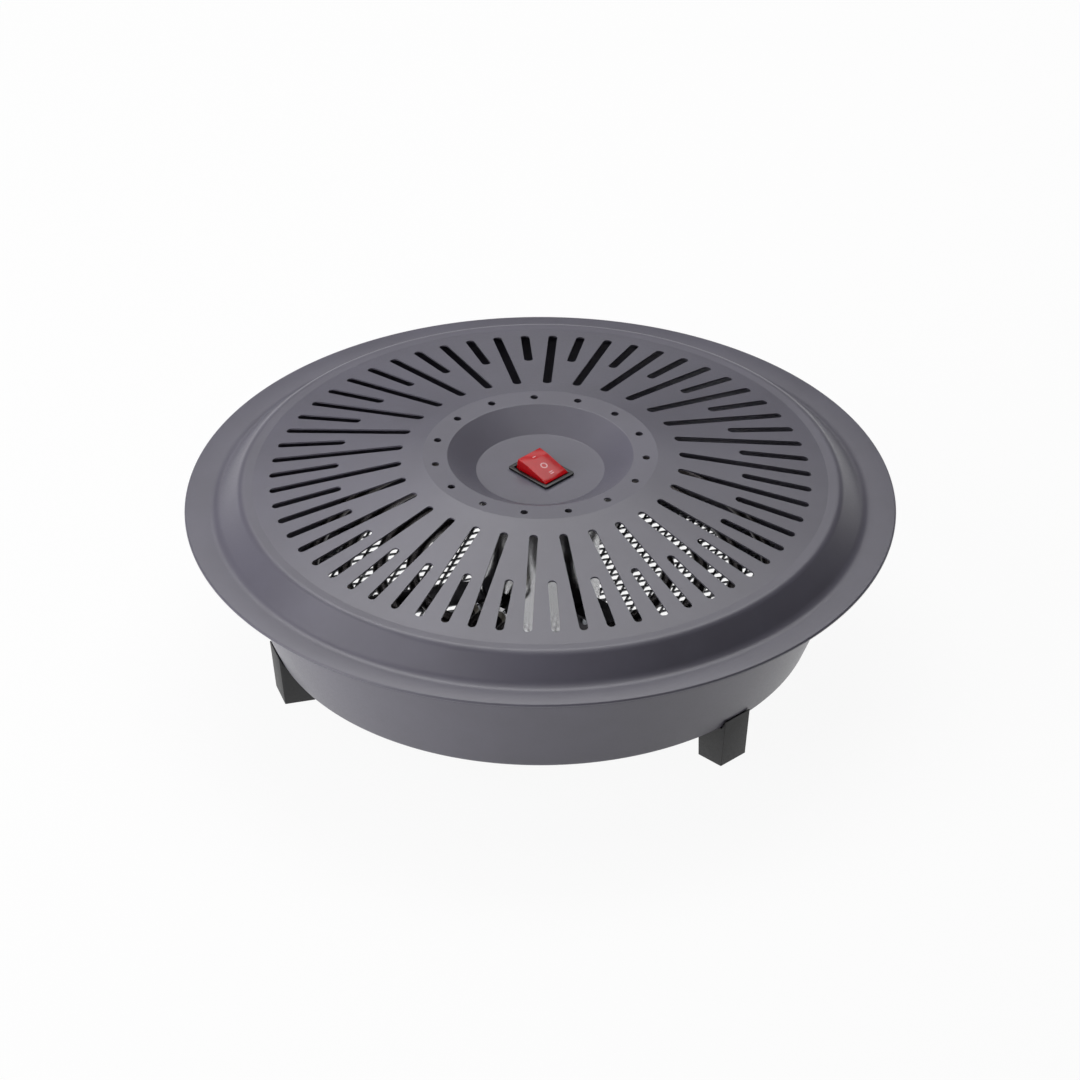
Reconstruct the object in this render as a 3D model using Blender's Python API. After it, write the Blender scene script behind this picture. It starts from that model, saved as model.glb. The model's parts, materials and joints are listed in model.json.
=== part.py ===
"""Electric brazier: a round low heater of pressed steel on three feet.

A slotted cover closes a flared pan. Two rings of heating rod lie inside on three arms, round a
central can that holds the wiring under a rocker switch. The floor of the pan is an open mesh.
Metres, +Z up, origin on the ground under the centre, front towards -Y, right towards +X.
"""

import math

import bmesh
import bpy
from mathutils import Matrix, Vector

# Clearances and counts that every piece shares
GAP = 0.0003
RUNNING_GAP = 0.0001
OVERRUN = 0.0100
BODY_SEGMENTS = 60
CAN_SEGMENTS = 30
SMALL_SEGMENTS = 12
SHARP_ANGLE = math.radians(32.0)

# Size of the whole object. The radii in plan are shares of the rim's, so that they grow with it
RIM_RADIUS = 0.2100
RIM_LEVEL = 0.1013
PAN_FLOOR_LEVEL = 0.0272

# Cover: heights are above the underside of its rim
COVER_SHEET = 0.0010
HEM_HEIGHT = 0.0021
HEM_WIDTH = 0.0040
FLANGE_INNER_RADIUS = RIM_RADIUS * 0.919
WALL_FOOT_RADIUS = RIM_RADIUS * 0.9024
WALL_FOOT_HEIGHT = 0.0045
WALL_HEAD_RADIUS = RIM_RADIUS * 0.8476
WALL_HEAD_HEIGHT = 0.0155
LEDGE_OUTER_RADIUS = RIM_RADIUS * 0.8324
LEDGE_INNER_RADIUS = RIM_RADIUS * 0.8095
LEDGE_HEIGHT = 0.0185
CONE_TOP_RADIUS = RIM_RADIUS * 0.33
CONE_TOP_HEIGHT = 0.04045
CROWN_INNER_RADIUS = RIM_RADIUS * 0.2619
RECESS_RADIUS = RIM_RADIUS * 0.18
RECESS_DEPTH = 0.01045

# Slots and round holes of the cover
SLOT_PAIRS = 30
FIRST_LONG_SLOT = 3.3
SLOT_WIDTH = 0.0052
LONG_SLOT_INNER = RIM_RADIUS * 0.3905
SHORT_SLOT_INNER = RIM_RADIUS * 0.5662
SLOT_OUTER = RIM_RADIUS * 0.7629
SLOT_END_STEPS = 3
VENT_COUNT = 15
FIRST_VENT = 93.3
VENT_CIRCLE = RIM_RADIUS * 0.2981
VENT_RADIUS = 0.00225
VENT_SEGMENTS = 6

# Studs and nuts that join the cover to the pan
STUD_AZIMUTHS = (15.5, 135.5, 255.5)
STUD_RADIUS = 0.0020
STUD_LENGTH = 0.0062
STUD_HOLE_CLEARANCE = 0.0005
THIN_NUT_RADIUS = 0.0042
THIN_NUT_HEIGHT = 0.0028

# Pan
PAN_SHEET = 0.0010
PAN_FLANGE_INSET = 0.0020
PAN_WALL_TOP_RADIUS = RIM_RADIUS * 0.9057
PAN_FLOOR_RADIUS = RIM_RADIUS * 0.7605
PAN_OPENING_RADIUS = RIM_RADIUS * 0.6548

# Floor mesh
NET_SHEET = 0.0012
NET_EDGE_GAP = 0.0012
NET_PITCH = 0.0185
NET_STRAND = 0.0034
NET_STRAND_NORMALS = (108.9, 161.7)
NET_OPENING_INSET = 0.0010
NET_PAD_RADIUS = 0.0230
NET_EDGE_SEGMENTS = 36

# Feet, with the screw and nut that clamp foot, pan, mesh and arm together
FOOT_AZIMUTHS = {"rear": 75.5, "left": 195.5, "right": 315.5}
FOOT_WIDTH = 0.0206
FOOT_INNER_RADIUS = RIM_RADIUS * 0.669
FOOT_OUTER_RADIUS = RIM_RADIUS * 0.7576
FOOT_OUTER_DRAFT = 0.0039
FOOT_LUG_HEIGHT = 0.0055
FOOT_CORNER = 0.0020
FOOT_SCREW_CIRCLE = RIM_RADIUS * 0.7143
SCREW_RADIUS = 0.0020
SCREW_CLEARANCE = 0.0003
SCREW_HEAD_RADIUS = 0.0040
SCREW_HEAD_HEIGHT = 0.0026
SCREW_STICK_OUT = 0.0015
SCREW_SOCKET_RADIUS = 0.0013
SCREW_SOCKET_DEPTH = 0.0014
COUNTERBORE_CLEARANCE = 0.0010
COUNTERBORE_FLOOR = 0.0080
NUT_RADIUS = 0.0044
NUT_HEIGHT = 0.0032

# Central can, its base plate, gland and gland nut
CAN_RADIUS = 0.0350
CAN_SHEET = 0.0008
CAN_SEAT = 0.0003
WINDOW_AZIMUTH = 235.0
WINDOW_WIDTH = 0.0160
WINDOW_BOTTOM_LEVEL = 0.0513
WINDOW_TOP_LEVEL = 0.0623
BASE_PLATE_RADIUS = 0.0300
BASE_PLATE_SHEET = 0.0012
GLAND_STEM_RADIUS = 0.0080
GLAND_BORE_RADIUS = 0.0038
GLAND_FLANGE_RADIUS = 0.0120
GLAND_FLANGE_HEIGHT = 0.0030
GLAND_CAP_RADIUS = 0.0095
GLAND_CAP_HEIGHT = 0.0090
GLAND_STICK_OUT = 0.0010
GLAND_NUT_RADIUS = 0.0112
GLAND_NUT_HEIGHT = 0.0040

# Arms that carry the heating rods
ARM_WIDTH = 0.0210
ARM_SHEET = 0.0015
ARM_TOP_LEVEL = 0.0533
ARM_TAB_LENGTH = 0.0205
ARM_DROP_RADIUS = RIM_RADIUS * 0.681
ARM_END_RADIUS = RIM_RADIUS * 0.7429
RIVET_RADIUS = 0.0016
RIVET_HEAD_RADIUS = 0.0032
RIVET_HEAD_HEIGHT = 0.0011
RIVET_DROP = 0.0105

# Heating rods: each element is a double ring, turned back on itself at one end
ROD_RADIUS = 0.0040
ROD_LEVEL = 0.0603
ROD_BEND_RADIUS = 0.0080
ROD_RINGS = {
    "inner": (RIM_RADIUS * 0.3595, RIM_RADIUS * 0.4524),
    "outer": (RIM_RADIUS * 0.55, RIM_RADIUS * 0.6429),
}
ROD_RETURN_ANGLES = {"inner": 27.0, "outer": 9.0}
ROD_STEP = 10.0
BEND_STEPS = 3
RETURN_STEPS = 6
LEAD_AZIMUTH = 240.0
LEAD_PITCH = 0.0092
LEAD_END = RIM_RADIUS * 0.2857
SEAL_RADIUS = 0.0036
SEAL_LENGTH = 0.0050
PIN_RADIUS = 0.0012
PIN_LENGTH = 0.0096
CRADLE_THICKNESS = 0.0020
CRADLE_END = 0.0025
CRADLE_STEPS = 6

# Terminal block, thermal cut-out and earth screw inside the can
BLOCK_OFFSET = 0.0210
BLOCK_DEPTH = 0.0100
BLOCK_WIDTH = 0.0280
BLOCK_HEIGHT = 0.0140
BLOCK_POLE_PITCH = 0.0080
BLOCK_GROOVE_WIDTH = 0.0012
BLOCK_GROOVE_DEPTH = 0.0030
CUTOUT_OFFSET = 0.0200
CUTOUT_RADIUS = 0.0080
CUTOUT_HEIGHT = 0.0080
CUTOUT_NECK_RADIUS = 0.0070
CUTOUT_NECK_HEIGHT = 0.0020
CUTOUT_TAB_SPREAD = 0.0045
CUTOUT_TAB_RADIUS = 0.0012
CUTOUT_TAB_HEIGHT = 0.0080
EARTH_OFFSET = 0.0230
EARTH_TAG_SIZE = (0.0070, 0.0100)
EARTH_TAG_SHEET = 0.0008
EARTH_SCREW_RADIUS = 0.0018
EARTH_SCREW_STICK_OUT = 0.0012

# Wires. The shares say where along its way a wire bends
WIRE_RADIUS = 0.0014
WIRE_PITCH = 0.0040
WIRE_STEPS = 3
WIRE_LOW_BEND = 0.25
WIRE_FEED_BEND = 1.0 / 6.0
WIRE_BLOCK_BEND = 0.8
FEED_POLE_SHARE = 1.4

# Switch: x runs along its length, z = 0 on the panel it is fitted to
SWITCH_PLACE = (0.0006, -0.0022)
SWITCH_AZIMUTH = -45.6
BEZEL_LENGTH = 0.0322
BEZEL_WIDTH = 0.0238
BEZEL_HEIGHT = 0.0015
BEZEL_CORNER = 0.0015
BEZEL_CORNER_STEPS = 3
SWITCH_WELL_LENGTH = 0.0274
SWITCH_WELL_WIDTH = 0.0190
SWITCH_WELL_DEPTH = 0.0125
SWITCH_END_WALL = 0.0007
SWITCH_SIDE_WALL = 0.0010
SWITCH_BASE = 0.0030
PANEL_CLEARANCE = 0.0003
TAB_PITCH = 0.0080
TAB_WIDTH = 0.0048
TAB_THICKNESS = 0.0008
TAB_LENGTH = 0.0080
TAB_RISE = 0.0008
PIVOT_DEPTH = 0.0020
PIVOT_RADIUS = 0.0015
ROCKER_TILT = 15.0
ROCKER_LENGTH = 0.0248
ROCKER_WIDTH = 0.0182
ROCKER_FACET_LENGTHS = (0.0065, 0.0153)
ROCKER_TOP_HEIGHTS = (0.0055, 0.0064, 0.0061, 0.0057)
ROCKER_WAIST_LENGTH = 0.0236
ROCKER_SKIRT_DEPTH = 0.0010
ROCKER_BOSS_LENGTH = 0.0070
ROCKER_BOSS_DEPTH = 0.0045
PLUNGER_RADIUS = 0.0012
PLUNGER_DEPTH = 0.0070
PLUNGER_SOCKET = 0.0030
CONTACT_LENGTH = 0.0180
CONTACT_WIDTH = 0.0040
CONTACT_SHEET = 0.0006
CONTACT_CLEARANCE = 0.0004
CONTACT_PIVOT_WIDTH = 0.0012

# Colour, roughness and metallic value of each finish
FINISHES = {
    "powder_coat": ((0.155, 0.150, 0.175), 0.45, 0.0),
    "bare_steel": ((0.560, 0.560, 0.580), 0.35, 1.0),
    "dark_steel": ((0.050, 0.049, 0.056), 0.50, 1.0),
    "rod_sheath": ((0.060, 0.058, 0.060), 0.40, 1.0),
    "zinc": ((0.600, 0.610, 0.620), 0.30, 1.0),
    "black_plastic": ((0.012, 0.012, 0.013), 0.40, 0.0),
    "foot_plastic": ((0.042, 0.042, 0.042), 0.55, 0.0),
    "red_plastic": ((0.350, 0.006, 0.010), 0.25, 0.0),
    "ceramic": ((0.700, 0.680, 0.620), 0.35, 0.0),
    "brass": ((0.600, 0.420, 0.150), 0.30, 1.0),
    "sleeve": ((0.030, 0.030, 0.032), 0.60, 0.0),
}

# Levels that follow from the sizes above
COVER_DISC_LEVEL = RIM_LEVEL + CONE_TOP_HEIGHT - RECESS_DEPTH
PAN_FLANGE_TOP = RIM_LEVEL - GAP
NET_LEVEL = PAN_FLOOR_LEVEL + PAN_SHEET + GAP
NET_TOP = NET_LEVEL + NET_SHEET
ARM_SEAT_LEVEL = NET_TOP + GAP
FOOT_NUT_LEVEL = ARM_SEAT_LEVEL + ARM_SHEET + GAP
CAN_FLOOR_LEVEL = NET_TOP + CAN_SEAT
CAN_FLOOR_TOP = CAN_FLOOR_LEVEL + CAN_SHEET
CAN_TOP = COVER_DISC_LEVEL - COVER_SHEET - GAP
PAN_FLARE = (PAN_WALL_TOP_RADIUS - PAN_FLOOR_RADIUS) / (PAN_FLANGE_TOP - PAN_SHEET - PAN_FLOOR_LEVEL)


def material(name):
    """The finish of that name, made once."""
    found = bpy.data.materials.get(name)
    if found:
        return found
    colour, roughness, metallic = FINISHES[name]
    made = bpy.data.materials.new(name)
    made.use_nodes = True
    shader = made.node_tree.nodes["Principled BSDF"]
    shader.inputs["Base Color"].default_value = (*colour, 1.0)
    shader.inputs["Roughness"].default_value = roughness
    shader.inputs["Metallic"].default_value = metallic
    made.diffuse_color = (*colour, 1.0)
    return made


def add_object(name, data, finish=None):
    """Puts a mesh or a curve in the scene, and gives it its finish."""
    made = bpy.data.objects.new(name, data)
    bpy.context.scene.collection.objects.link(made)
    if finish:
        data.materials.clear()
        data.materials.append(material(finish))
    return made


def mesh_from(name, shape):
    """Closes a bmesh into a mesh whose faces point out."""
    bmesh.ops.recalc_face_normals(shape, faces=shape.faces)
    made = bpy.data.meshes.new(name)
    shape.to_mesh(made)
    shape.free()
    made.shade_smooth()
    made.set_sharp_from_angle(angle=SHARP_ANGLE)
    return made


def polar(radius, azimuth, level=0.0):
    """The point at that radius and azimuth, in degrees, and level."""
    angle = math.radians(azimuth)
    return Vector((radius * math.cos(angle), radius * math.sin(angle), level))


def offset_path(points, distance):
    """The path at that distance on the right of a path, with its corners mitred."""
    ways = [(Vector(b) - Vector(a)).normalized() for a, b in zip(points, points[1:])]
    sides = [Vector((way.y, -way.x)) for way in ways]
    moved = []
    for index, point in enumerate(points):
        before = sides[max(index - 1, 0)]
        after = sides[min(index, len(sides) - 1)]
        mitre = (before + after) / (1.0 + before.dot(after))
        moved.append(tuple(Vector(point) + mitre * distance))
    return moved


def sheet_outline(points, thickness):
    """The closed outline of a sheet that lies on the right of a path."""
    return list(points) + offset_path(points, thickness)[::-1]


def turn(shape, outline, segments, first=0.0):
    """Adds a closed outline of radii and levels, turned round the Z axis, to a bmesh."""
    rings = []
    for radius, level in outline:
        if radius == 0.0:
            rings.append([shape.verts.new((0.0, 0.0, level))] * segments)
            continue
        step = 360.0 / segments
        rings.append([shape.verts.new(polar(radius, first + step * i, level)) for i in range(segments)])
    for ring, following in zip(rings, rings[1:] + rings[:1]):
        for i in range(segments):
            j = (i + 1) % segments
            corners = list(dict.fromkeys((ring[i], ring[j], following[j], following[i])))
            if len(corners) > 2:
                shape.faces.new(corners)


def turned(name, outline, segments, finish=None, first=0.0):
    """A turned solid."""
    shape = bmesh.new()
    turn(shape, outline, segments, first)
    return add_object(name, mesh_from(name, shape), finish)


def add_prism(shape, low_corners, high_corners):
    """Adds the solid between two outlines of the same count to a bmesh."""
    low = [shape.verts.new(corner) for corner in low_corners]
    high = [shape.verts.new(corner) for corner in high_corners]
    shape.faces.new(low[::-1])
    shape.faces.new(high)
    for i in range(len(low)):
        j = (i + 1) % len(low)
        shape.faces.new((low[i], low[j], high[j], high[i]))


def prism(name, outline, low, high, finish=None):
    """An outline in x and y, drawn up from one level to another."""
    shape = bmesh.new()
    add_prism(shape, [(x, y, low) for x, y in outline], [(x, y, high) for x, y in outline])
    return add_object(name, mesh_from(name, shape), finish)


def profile(name, outline, width, finish=None):
    """An outline in x and z, drawn out to both sides of the XZ plane."""
    shape = bmesh.new()
    near = [(x, -width / 2.0, z) for x, z in outline]
    far = [(x, width / 2.0, z) for x, z in outline]
    add_prism(shape, near, far)
    return add_object(name, mesh_from(name, shape), finish)


def rectangle(length, width, centre=(0.0, 0.0)):
    """The corners of a rectangle in x and y."""
    x, y = centre
    half_x, half_y = length / 2.0, width / 2.0
    return [
        (x - half_x, y - half_y),
        (x + half_x, y - half_y),
        (x + half_x, y + half_y),
        (x - half_x, y + half_y),
    ]


def cylinder_outline(radius, low, high):
    """The turned outline of a plain cylinder."""
    return [(0.0, low), (radius, low), (radius, high), (0.0, high)]


def pegs(name, places, radius, low, high, segments=SMALL_SEGMENTS):
    """Upright cylinders at several places, as one object."""
    shape = bmesh.new()
    for place in places:
        single = bmesh.new()
        turn(single, cylinder_outline(radius, low, high), segments)
        bmesh.ops.translate(single, verts=single.verts, vec=(place.x, place.y, 0.0))
        copy = bpy.data.meshes.new(name)
        single.to_mesh(copy)
        single.free()
        shape.from_mesh(copy)
        bpy.data.meshes.remove(copy)
    return add_object(name, mesh_from(name, shape))


def combine(target, tool, operation="DIFFERENCE"):
    """Cuts, joins or trims the target by a helper, which stays out of the model."""
    tool.hide_render = True
    tool.display_type = "WIRE"
    step = target.modifiers.new(tool.name, "BOOLEAN")
    step.object = tool
    step.operation = operation


def baked(made):
    """The object's mesh with its modifiers applied. The object and its helpers are taken away."""
    bpy.context.view_layer.update()
    graph = bpy.context.evaluated_depsgraph_get()
    mesh = bpy.data.meshes.new_from_object(made.evaluated_get(graph))
    mesh.name = made.name
    for step in list(made.modifiers):
        bpy.data.objects.remove(step.object)
    bpy.data.objects.remove(made)
    mesh.shade_smooth()
    mesh.set_sharp_from_angle(angle=SHARP_ANGLE)
    return mesh


def place_around(stem, mesh, azimuths, finish):
    """Sets copies of a mesh round the Z axis, one for each named azimuth."""
    for label, azimuth in azimuths.items():
        made = add_object(f"{stem}_{label}", mesh, finish)
        made.rotation_euler = (0.0, 0.0, math.radians(azimuth))


def tube(name, points, radius, finish, resolution=2):
    """A round rod along a path."""
    curve = bpy.data.curves.new(name, "CURVE")
    curve.dimensions = "3D"
    curve.bevel_depth = radius
    curve.bevel_resolution = resolution
    curve.use_fill_caps = True
    spline = curve.splines.new("POLY")
    spline.points.add(len(points) - 1)
    for knot, point in zip(spline.points, points):
        knot.co = (*point, 1.0)
    return add_object(name, curve, finish)


def smooth_route(places, steps=WIRE_STEPS):
    """A smooth curve through a route's places, with its first and last stretches straight."""
    route = [places[0]]
    for a, b, c, d in zip(places, places[1:], places[2:], places[3:]):
        for i in range(steps):
            t = i / steps
            along = (c - a) * t + (a * 2.0 - b * 5.0 + c * 4.0 - d) * t**2
            route.append(b + (along + (b * 3.0 - a - c * 3.0 + d) * t**3) / 2.0)
    return [*route, places[-2], places[-1]]


def slot_outline(inner, outer, width, azimuth):
    """A radial slot with round ends, in plan."""
    radius = width / 2.0
    outline = []
    for middle, start in ((outer - radius, -90.0), (inner + radius, 90.0)):
        for i in range(SLOT_END_STEPS + 1):
            turned_by = start + 180.0 * i / SLOT_END_STEPS
            outline.append(polar(middle, 0.0) + polar(radius, turned_by))
    turn_to = Matrix.Rotation(math.radians(azimuth), 3, "Z")
    return [tuple((turn_to @ point).xy) for point in outline]


def cover_cutter():
    """Every slot and vent hole of the cover, as one solid."""
    shape = bmesh.new()
    low = RIM_LEVEL - OVERRUN
    high = RIM_LEVEL + CONE_TOP_HEIGHT + OVERRUN
    outlines = []
    step = 360.0 / SLOT_PAIRS
    for i in range(SLOT_PAIRS):
        azimuth = FIRST_LONG_SLOT + step * i
        outlines.append(slot_outline(LONG_SLOT_INNER, SLOT_OUTER, SLOT_WIDTH, azimuth))
        outlines.append(slot_outline(SHORT_SLOT_INNER, SLOT_OUTER, SLOT_WIDTH, azimuth + step / 2.0))
    for i in range(VENT_COUNT):
        centre = polar(VENT_CIRCLE, FIRST_VENT + 360.0 / VENT_COUNT * i)
        corners = [centre + polar(VENT_RADIUS, 360.0 / VENT_SEGMENTS * k) for k in range(VENT_SEGMENTS)]
        outlines.append([tuple(corner.xy) for corner in corners])
    for outline in outlines:
        add_prism(shape, [(x, y, low) for x, y in outline], [(x, y, high) for x, y in outline])
    return add_object("cover_cutter", mesh_from("cover_cutter", shape))


def in_switch_frame(made):
    """Places an object that was drawn round the switch's centre, with z = 0 on the panel."""
    made.location = (*SWITCH_PLACE, COVER_DISC_LEVEL)
    made.rotation_euler = (0.0, 0.0, math.radians(SWITCH_AZIMUTH))
    return made


def build_cover():
    """The slotted cover, with the panel opening for the switch and three studs under its flange."""
    hem_centre = HEM_HEIGHT / 2.0
    top = [
        (RIM_RADIUS - HEM_WIDTH, HEM_HEIGHT),
        (FLANGE_INNER_RADIUS, HEM_HEIGHT),
        (WALL_FOOT_RADIUS, WALL_FOOT_HEIGHT),
        (WALL_HEAD_RADIUS, WALL_HEAD_HEIGHT),
        (LEDGE_OUTER_RADIUS, LEDGE_HEIGHT),
        (LEDGE_INNER_RADIUS, LEDGE_HEIGHT),
        (CONE_TOP_RADIUS, CONE_TOP_HEIGHT),
        (CROWN_INNER_RADIUS, CONE_TOP_HEIGHT),
        (RECESS_RADIUS, CONE_TOP_HEIGHT - RECESS_DEPTH),
        (0.0, CONE_TOP_HEIGHT - RECESS_DEPTH),
    ]
    under = offset_path(top, -COVER_SHEET)[::-1]
    hem = [
        (RIM_RADIUS - HEM_WIDTH, 0.0),
        (RIM_RADIUS - hem_centre, 0.0),
        (RIM_RADIUS, hem_centre),
        (RIM_RADIUS - hem_centre, HEM_HEIGHT),
    ]
    outline = [(radius, RIM_LEVEL + height) for radius, height in hem + top + under]
    half_step = 180.0 / BODY_SEGMENTS
    cover = turned("grille_cover", outline, BODY_SEGMENTS, "powder_coat", FIRST_LONG_SLOT + half_step)
    places = [polar(stud_circle(), azimuth) for azimuth in STUD_AZIMUTHS]
    root = RIM_LEVEL + HEM_HEIGHT - COVER_SHEET / 2.0
    studs = pegs("cover_studs", places, STUD_RADIUS, RIM_LEVEL - STUD_LENGTH, root)
    combine(cover, studs, "UNION")
    combine(cover, cover_cutter())
    length = SWITCH_WELL_LENGTH + (SWITCH_END_WALL + PANEL_CLEARANCE) * 2.0
    width = SWITCH_WELL_WIDTH + (SWITCH_SIDE_WALL + PANEL_CLEARANCE) * 2.0
    panel = prism("panel_cutter", rectangle(length, width), -OVERRUN, OVERRUN)
    combine(cover, in_switch_frame(panel))


def stud_circle():
    """The radius at which the studs stand, midway between the pan's wall and its edge."""
    return (PAN_WALL_TOP_RADIUS + RIM_RADIUS - PAN_FLANGE_INSET) / 2.0


def build_pan():
    """The flared pan, with an opening in its floor and holes for studs and foot screws."""
    path = [
        (RIM_RADIUS - PAN_FLANGE_INSET, PAN_FLANGE_TOP - PAN_SHEET),
        (PAN_WALL_TOP_RADIUS, PAN_FLANGE_TOP - PAN_SHEET),
        (PAN_FLOOR_RADIUS, PAN_FLOOR_LEVEL),
        (PAN_OPENING_RADIUS, PAN_FLOOR_LEVEL),
    ]
    half_step = 180.0 / BODY_SEGMENTS
    first = FIRST_LONG_SLOT + half_step
    pan = turned("base_pan", sheet_outline(path, PAN_SHEET), BODY_SEGMENTS, "powder_coat", first)
    places = [polar(stud_circle(), azimuth) for azimuth in STUD_AZIMUTHS]
    hole = STUD_RADIUS + STUD_HOLE_CLEARANCE
    low, high = PAN_FLANGE_TOP - OVERRUN, PAN_FLANGE_TOP + OVERRUN
    combine(pan, pegs("stud_holes", places, hole, low, high))
    combine(pan, foot_screw_holes("pan_screw_holes"))


def foot_screw_holes(name):
    """Clearance holes for the three foot screws, through everything that they clamp."""
    places = [polar(FOOT_SCREW_CIRCLE, azimuth) for azimuth in FOOT_AZIMUTHS.values()]
    low, high = PAN_FLOOR_LEVEL - OVERRUN, PAN_FLOOR_LEVEL + OVERRUN
    return pegs(name, places, SCREW_RADIUS + SCREW_CLEARANCE, low, high)


def net_point(along_first, along_second):
    """The point of the floor at those distances along the two strand normals."""
    first, second = (math.radians(normal) for normal in NET_STRAND_NORMALS)
    skew = math.sin(second - first)
    x = (along_first * math.sin(second) - along_second * math.sin(first)) / skew
    y = (along_second * math.cos(first) - along_first * math.cos(second)) / skew
    return x, y


def net_cutter(low, high, opening):
    """The diamond gaps of the floor mesh, as one solid."""
    shape = bmesh.new()
    half = (NET_PITCH - NET_STRAND) / 2.0
    reach = math.ceil(opening / NET_PITCH)
    for i in range(-reach, reach + 1):
        for j in range(-reach, reach + 1):
            u, v = i * NET_PITCH, j * NET_PITCH
            distance = math.hypot(*net_point(u, v))
            if not NET_PAD_RADIUS + half < distance < opening - NET_STRAND:
                continue
            signs = ((-1, -1), (1, -1), (1, 1), (-1, 1))
            corners = [net_point(u + half * a, v + half * b) for a, b in signs]
            add_prism(shape, [(x, y, low) for x, y in corners], [(x, y, high) for x, y in corners])
    return add_object("net_cutter", mesh_from("net_cutter", shape))


def build_net():
    """The open floor mesh, which lies on the lip of the pan."""
    radius = PAN_FLOOR_RADIUS - PAN_SHEET - NET_EDGE_GAP
    stem_hole = GLAND_STEM_RADIUS + SCREW_CLEARANCE
    outline = [(radius, NET_LEVEL), (radius, NET_TOP), (stem_hole, NET_TOP), (stem_hole, NET_LEVEL)]
    net = turned("floor_mesh", outline, NET_EDGE_SEGMENTS, "dark_steel")
    low, high = NET_LEVEL - OVERRUN, NET_TOP + OVERRUN
    opening = PAN_OPENING_RADIUS - NET_OPENING_INSET
    band = [
        (opening, low + OVERRUN / 2.0),
        (opening, high - OVERRUN / 2.0),
        (NET_PAD_RADIUS, high - OVERRUN / 2.0),
        (NET_PAD_RADIUS, low + OVERRUN / 2.0),
    ]
    gaps = net_cutter(low, high, opening)
    combine(gaps, turned("net_band", band, NET_EDGE_SEGMENTS), "INTERSECT")
    combine(net, gaps)
    combine(net, foot_screw_holes("net_screw_holes"))


def build_feet():
    """Three feet under the lip of the pan, each with its screw, and its nut inside the pan."""
    lip = PAN_FLOOR_LEVEL - GAP
    lug_top = PAN_FLOOR_LEVEL + FOOT_LUG_HEIGHT
    wall_gap = GAP * math.hypot(1.0, PAN_FLARE)
    wall_foot = PAN_FLOOR_RADIUS + wall_gap - GAP * PAN_FLARE
    wall_head = PAN_FLOOR_RADIUS + wall_gap + FOOT_LUG_HEIGHT * PAN_FLARE
    outline = [
        (FOOT_INNER_RADIUS, 0.0),
        (FOOT_OUTER_RADIUS, 0.0),
        (FOOT_OUTER_RADIUS + FOOT_OUTER_DRAFT, lug_top),
        (wall_head, lug_top),
        (wall_foot, lip),
        (FOOT_INNER_RADIUS, lip),
    ]
    foot = profile("foot", outline, FOOT_WIDTH)
    shape = bmesh.new()
    shape.from_mesh(foot.data)
    inner = FOOT_INNER_RADIUS + GAP
    corners = [edge for edge in shape.edges if all(end.co.x < inner for end in edge.verts)]
    upright = [edge for edge in corners if abs(edge.verts[0].co.z - edge.verts[1].co.z) > GAP]
    bmesh.ops.bevel(shape, geom=upright, offset=FOOT_CORNER, segments=3, profile=0.5, affect="EDGES")
    shape.to_mesh(foot.data)
    shape.free()
    place = [polar(FOOT_SCREW_CIRCLE, 0.0)]
    combine(foot, pegs("foot_hole", place, SCREW_RADIUS + SCREW_CLEARANCE, -OVERRUN, lip + OVERRUN))
    bore = SCREW_HEAD_RADIUS + COUNTERBORE_CLEARANCE
    combine(foot, pegs("foot_counterbore", place, bore, -OVERRUN, lip - COUNTERBORE_FLOOR))
    place_around("foot", baked(foot), FOOT_AZIMUTHS, "foot_plastic")
    build_foot_screws(lip - COUNTERBORE_FLOOR - GAP)


def build_foot_screws(head_top):
    """The foot screws, from below, and their nuts."""
    head_low = head_top - SCREW_HEAD_HEIGHT
    tip = FOOT_NUT_LEVEL + NUT_HEIGHT + SCREW_STICK_OUT
    socket_top = head_low + SCREW_SOCKET_DEPTH
    outline = [
        (0.0, socket_top),
        (SCREW_SOCKET_RADIUS, socket_top),
        (SCREW_SOCKET_RADIUS, head_low),
        (SCREW_HEAD_RADIUS, head_low),
        (SCREW_HEAD_RADIUS, head_top),
        (SCREW_RADIUS, head_top),
        (SCREW_RADIUS, tip),
        (0.0, tip),
    ]
    place_around("foot_screw", shifted_turn("foot_screw", outline), FOOT_AZIMUTHS, "zinc")
    nut = nut_outline(SCREW_RADIUS, NUT_RADIUS, FOOT_NUT_LEVEL, NUT_HEIGHT)
    place_around("foot_nut", shifted_nut("foot_nut", nut, FOOT_SCREW_CIRCLE), FOOT_AZIMUTHS, "zinc")


def shifted_turn(name, outline, radius=FOOT_SCREW_CIRCLE):
    """A small turned mesh that stands at a radius from the centre."""
    shape = bmesh.new()
    turn(shape, outline, SMALL_SEGMENTS)
    bmesh.ops.translate(shape, verts=shape.verts, vec=(radius, 0.0, 0.0))
    return mesh_from(name, shape)


def nut_outline(thread_radius, radius, low, height):
    """The outline of a nut: bore, flats and height."""
    bore = thread_radius + SCREW_CLEARANCE
    return [(bore, low), (radius, low), (radius, low + height), (bore, low + height)]


def shifted_nut(name, outline, radius):
    """A six-sided nut with a round bore, at a radius from the centre."""
    shape = bmesh.new()
    turn(shape, outline, SMALL_SEGMENTS)
    bore = min(point[0] for point in outline)
    across = max(point[0] for point in outline)
    for vertex in shape.verts:
        flat = math.hypot(vertex.co.x, vertex.co.y)
        side = round(math.degrees(math.atan2(vertex.co.y, vertex.co.x)) / 30.0) % 2
        if flat > (bore + across) / 2.0 and side:
            vertex.co.xy = vertex.co.xy * math.cos(math.pi / 6.0)
    bmesh.ops.translate(shape, verts=shape.verts, vec=(radius, 0.0, 0.0))
    return mesh_from(name, shape)


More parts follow.
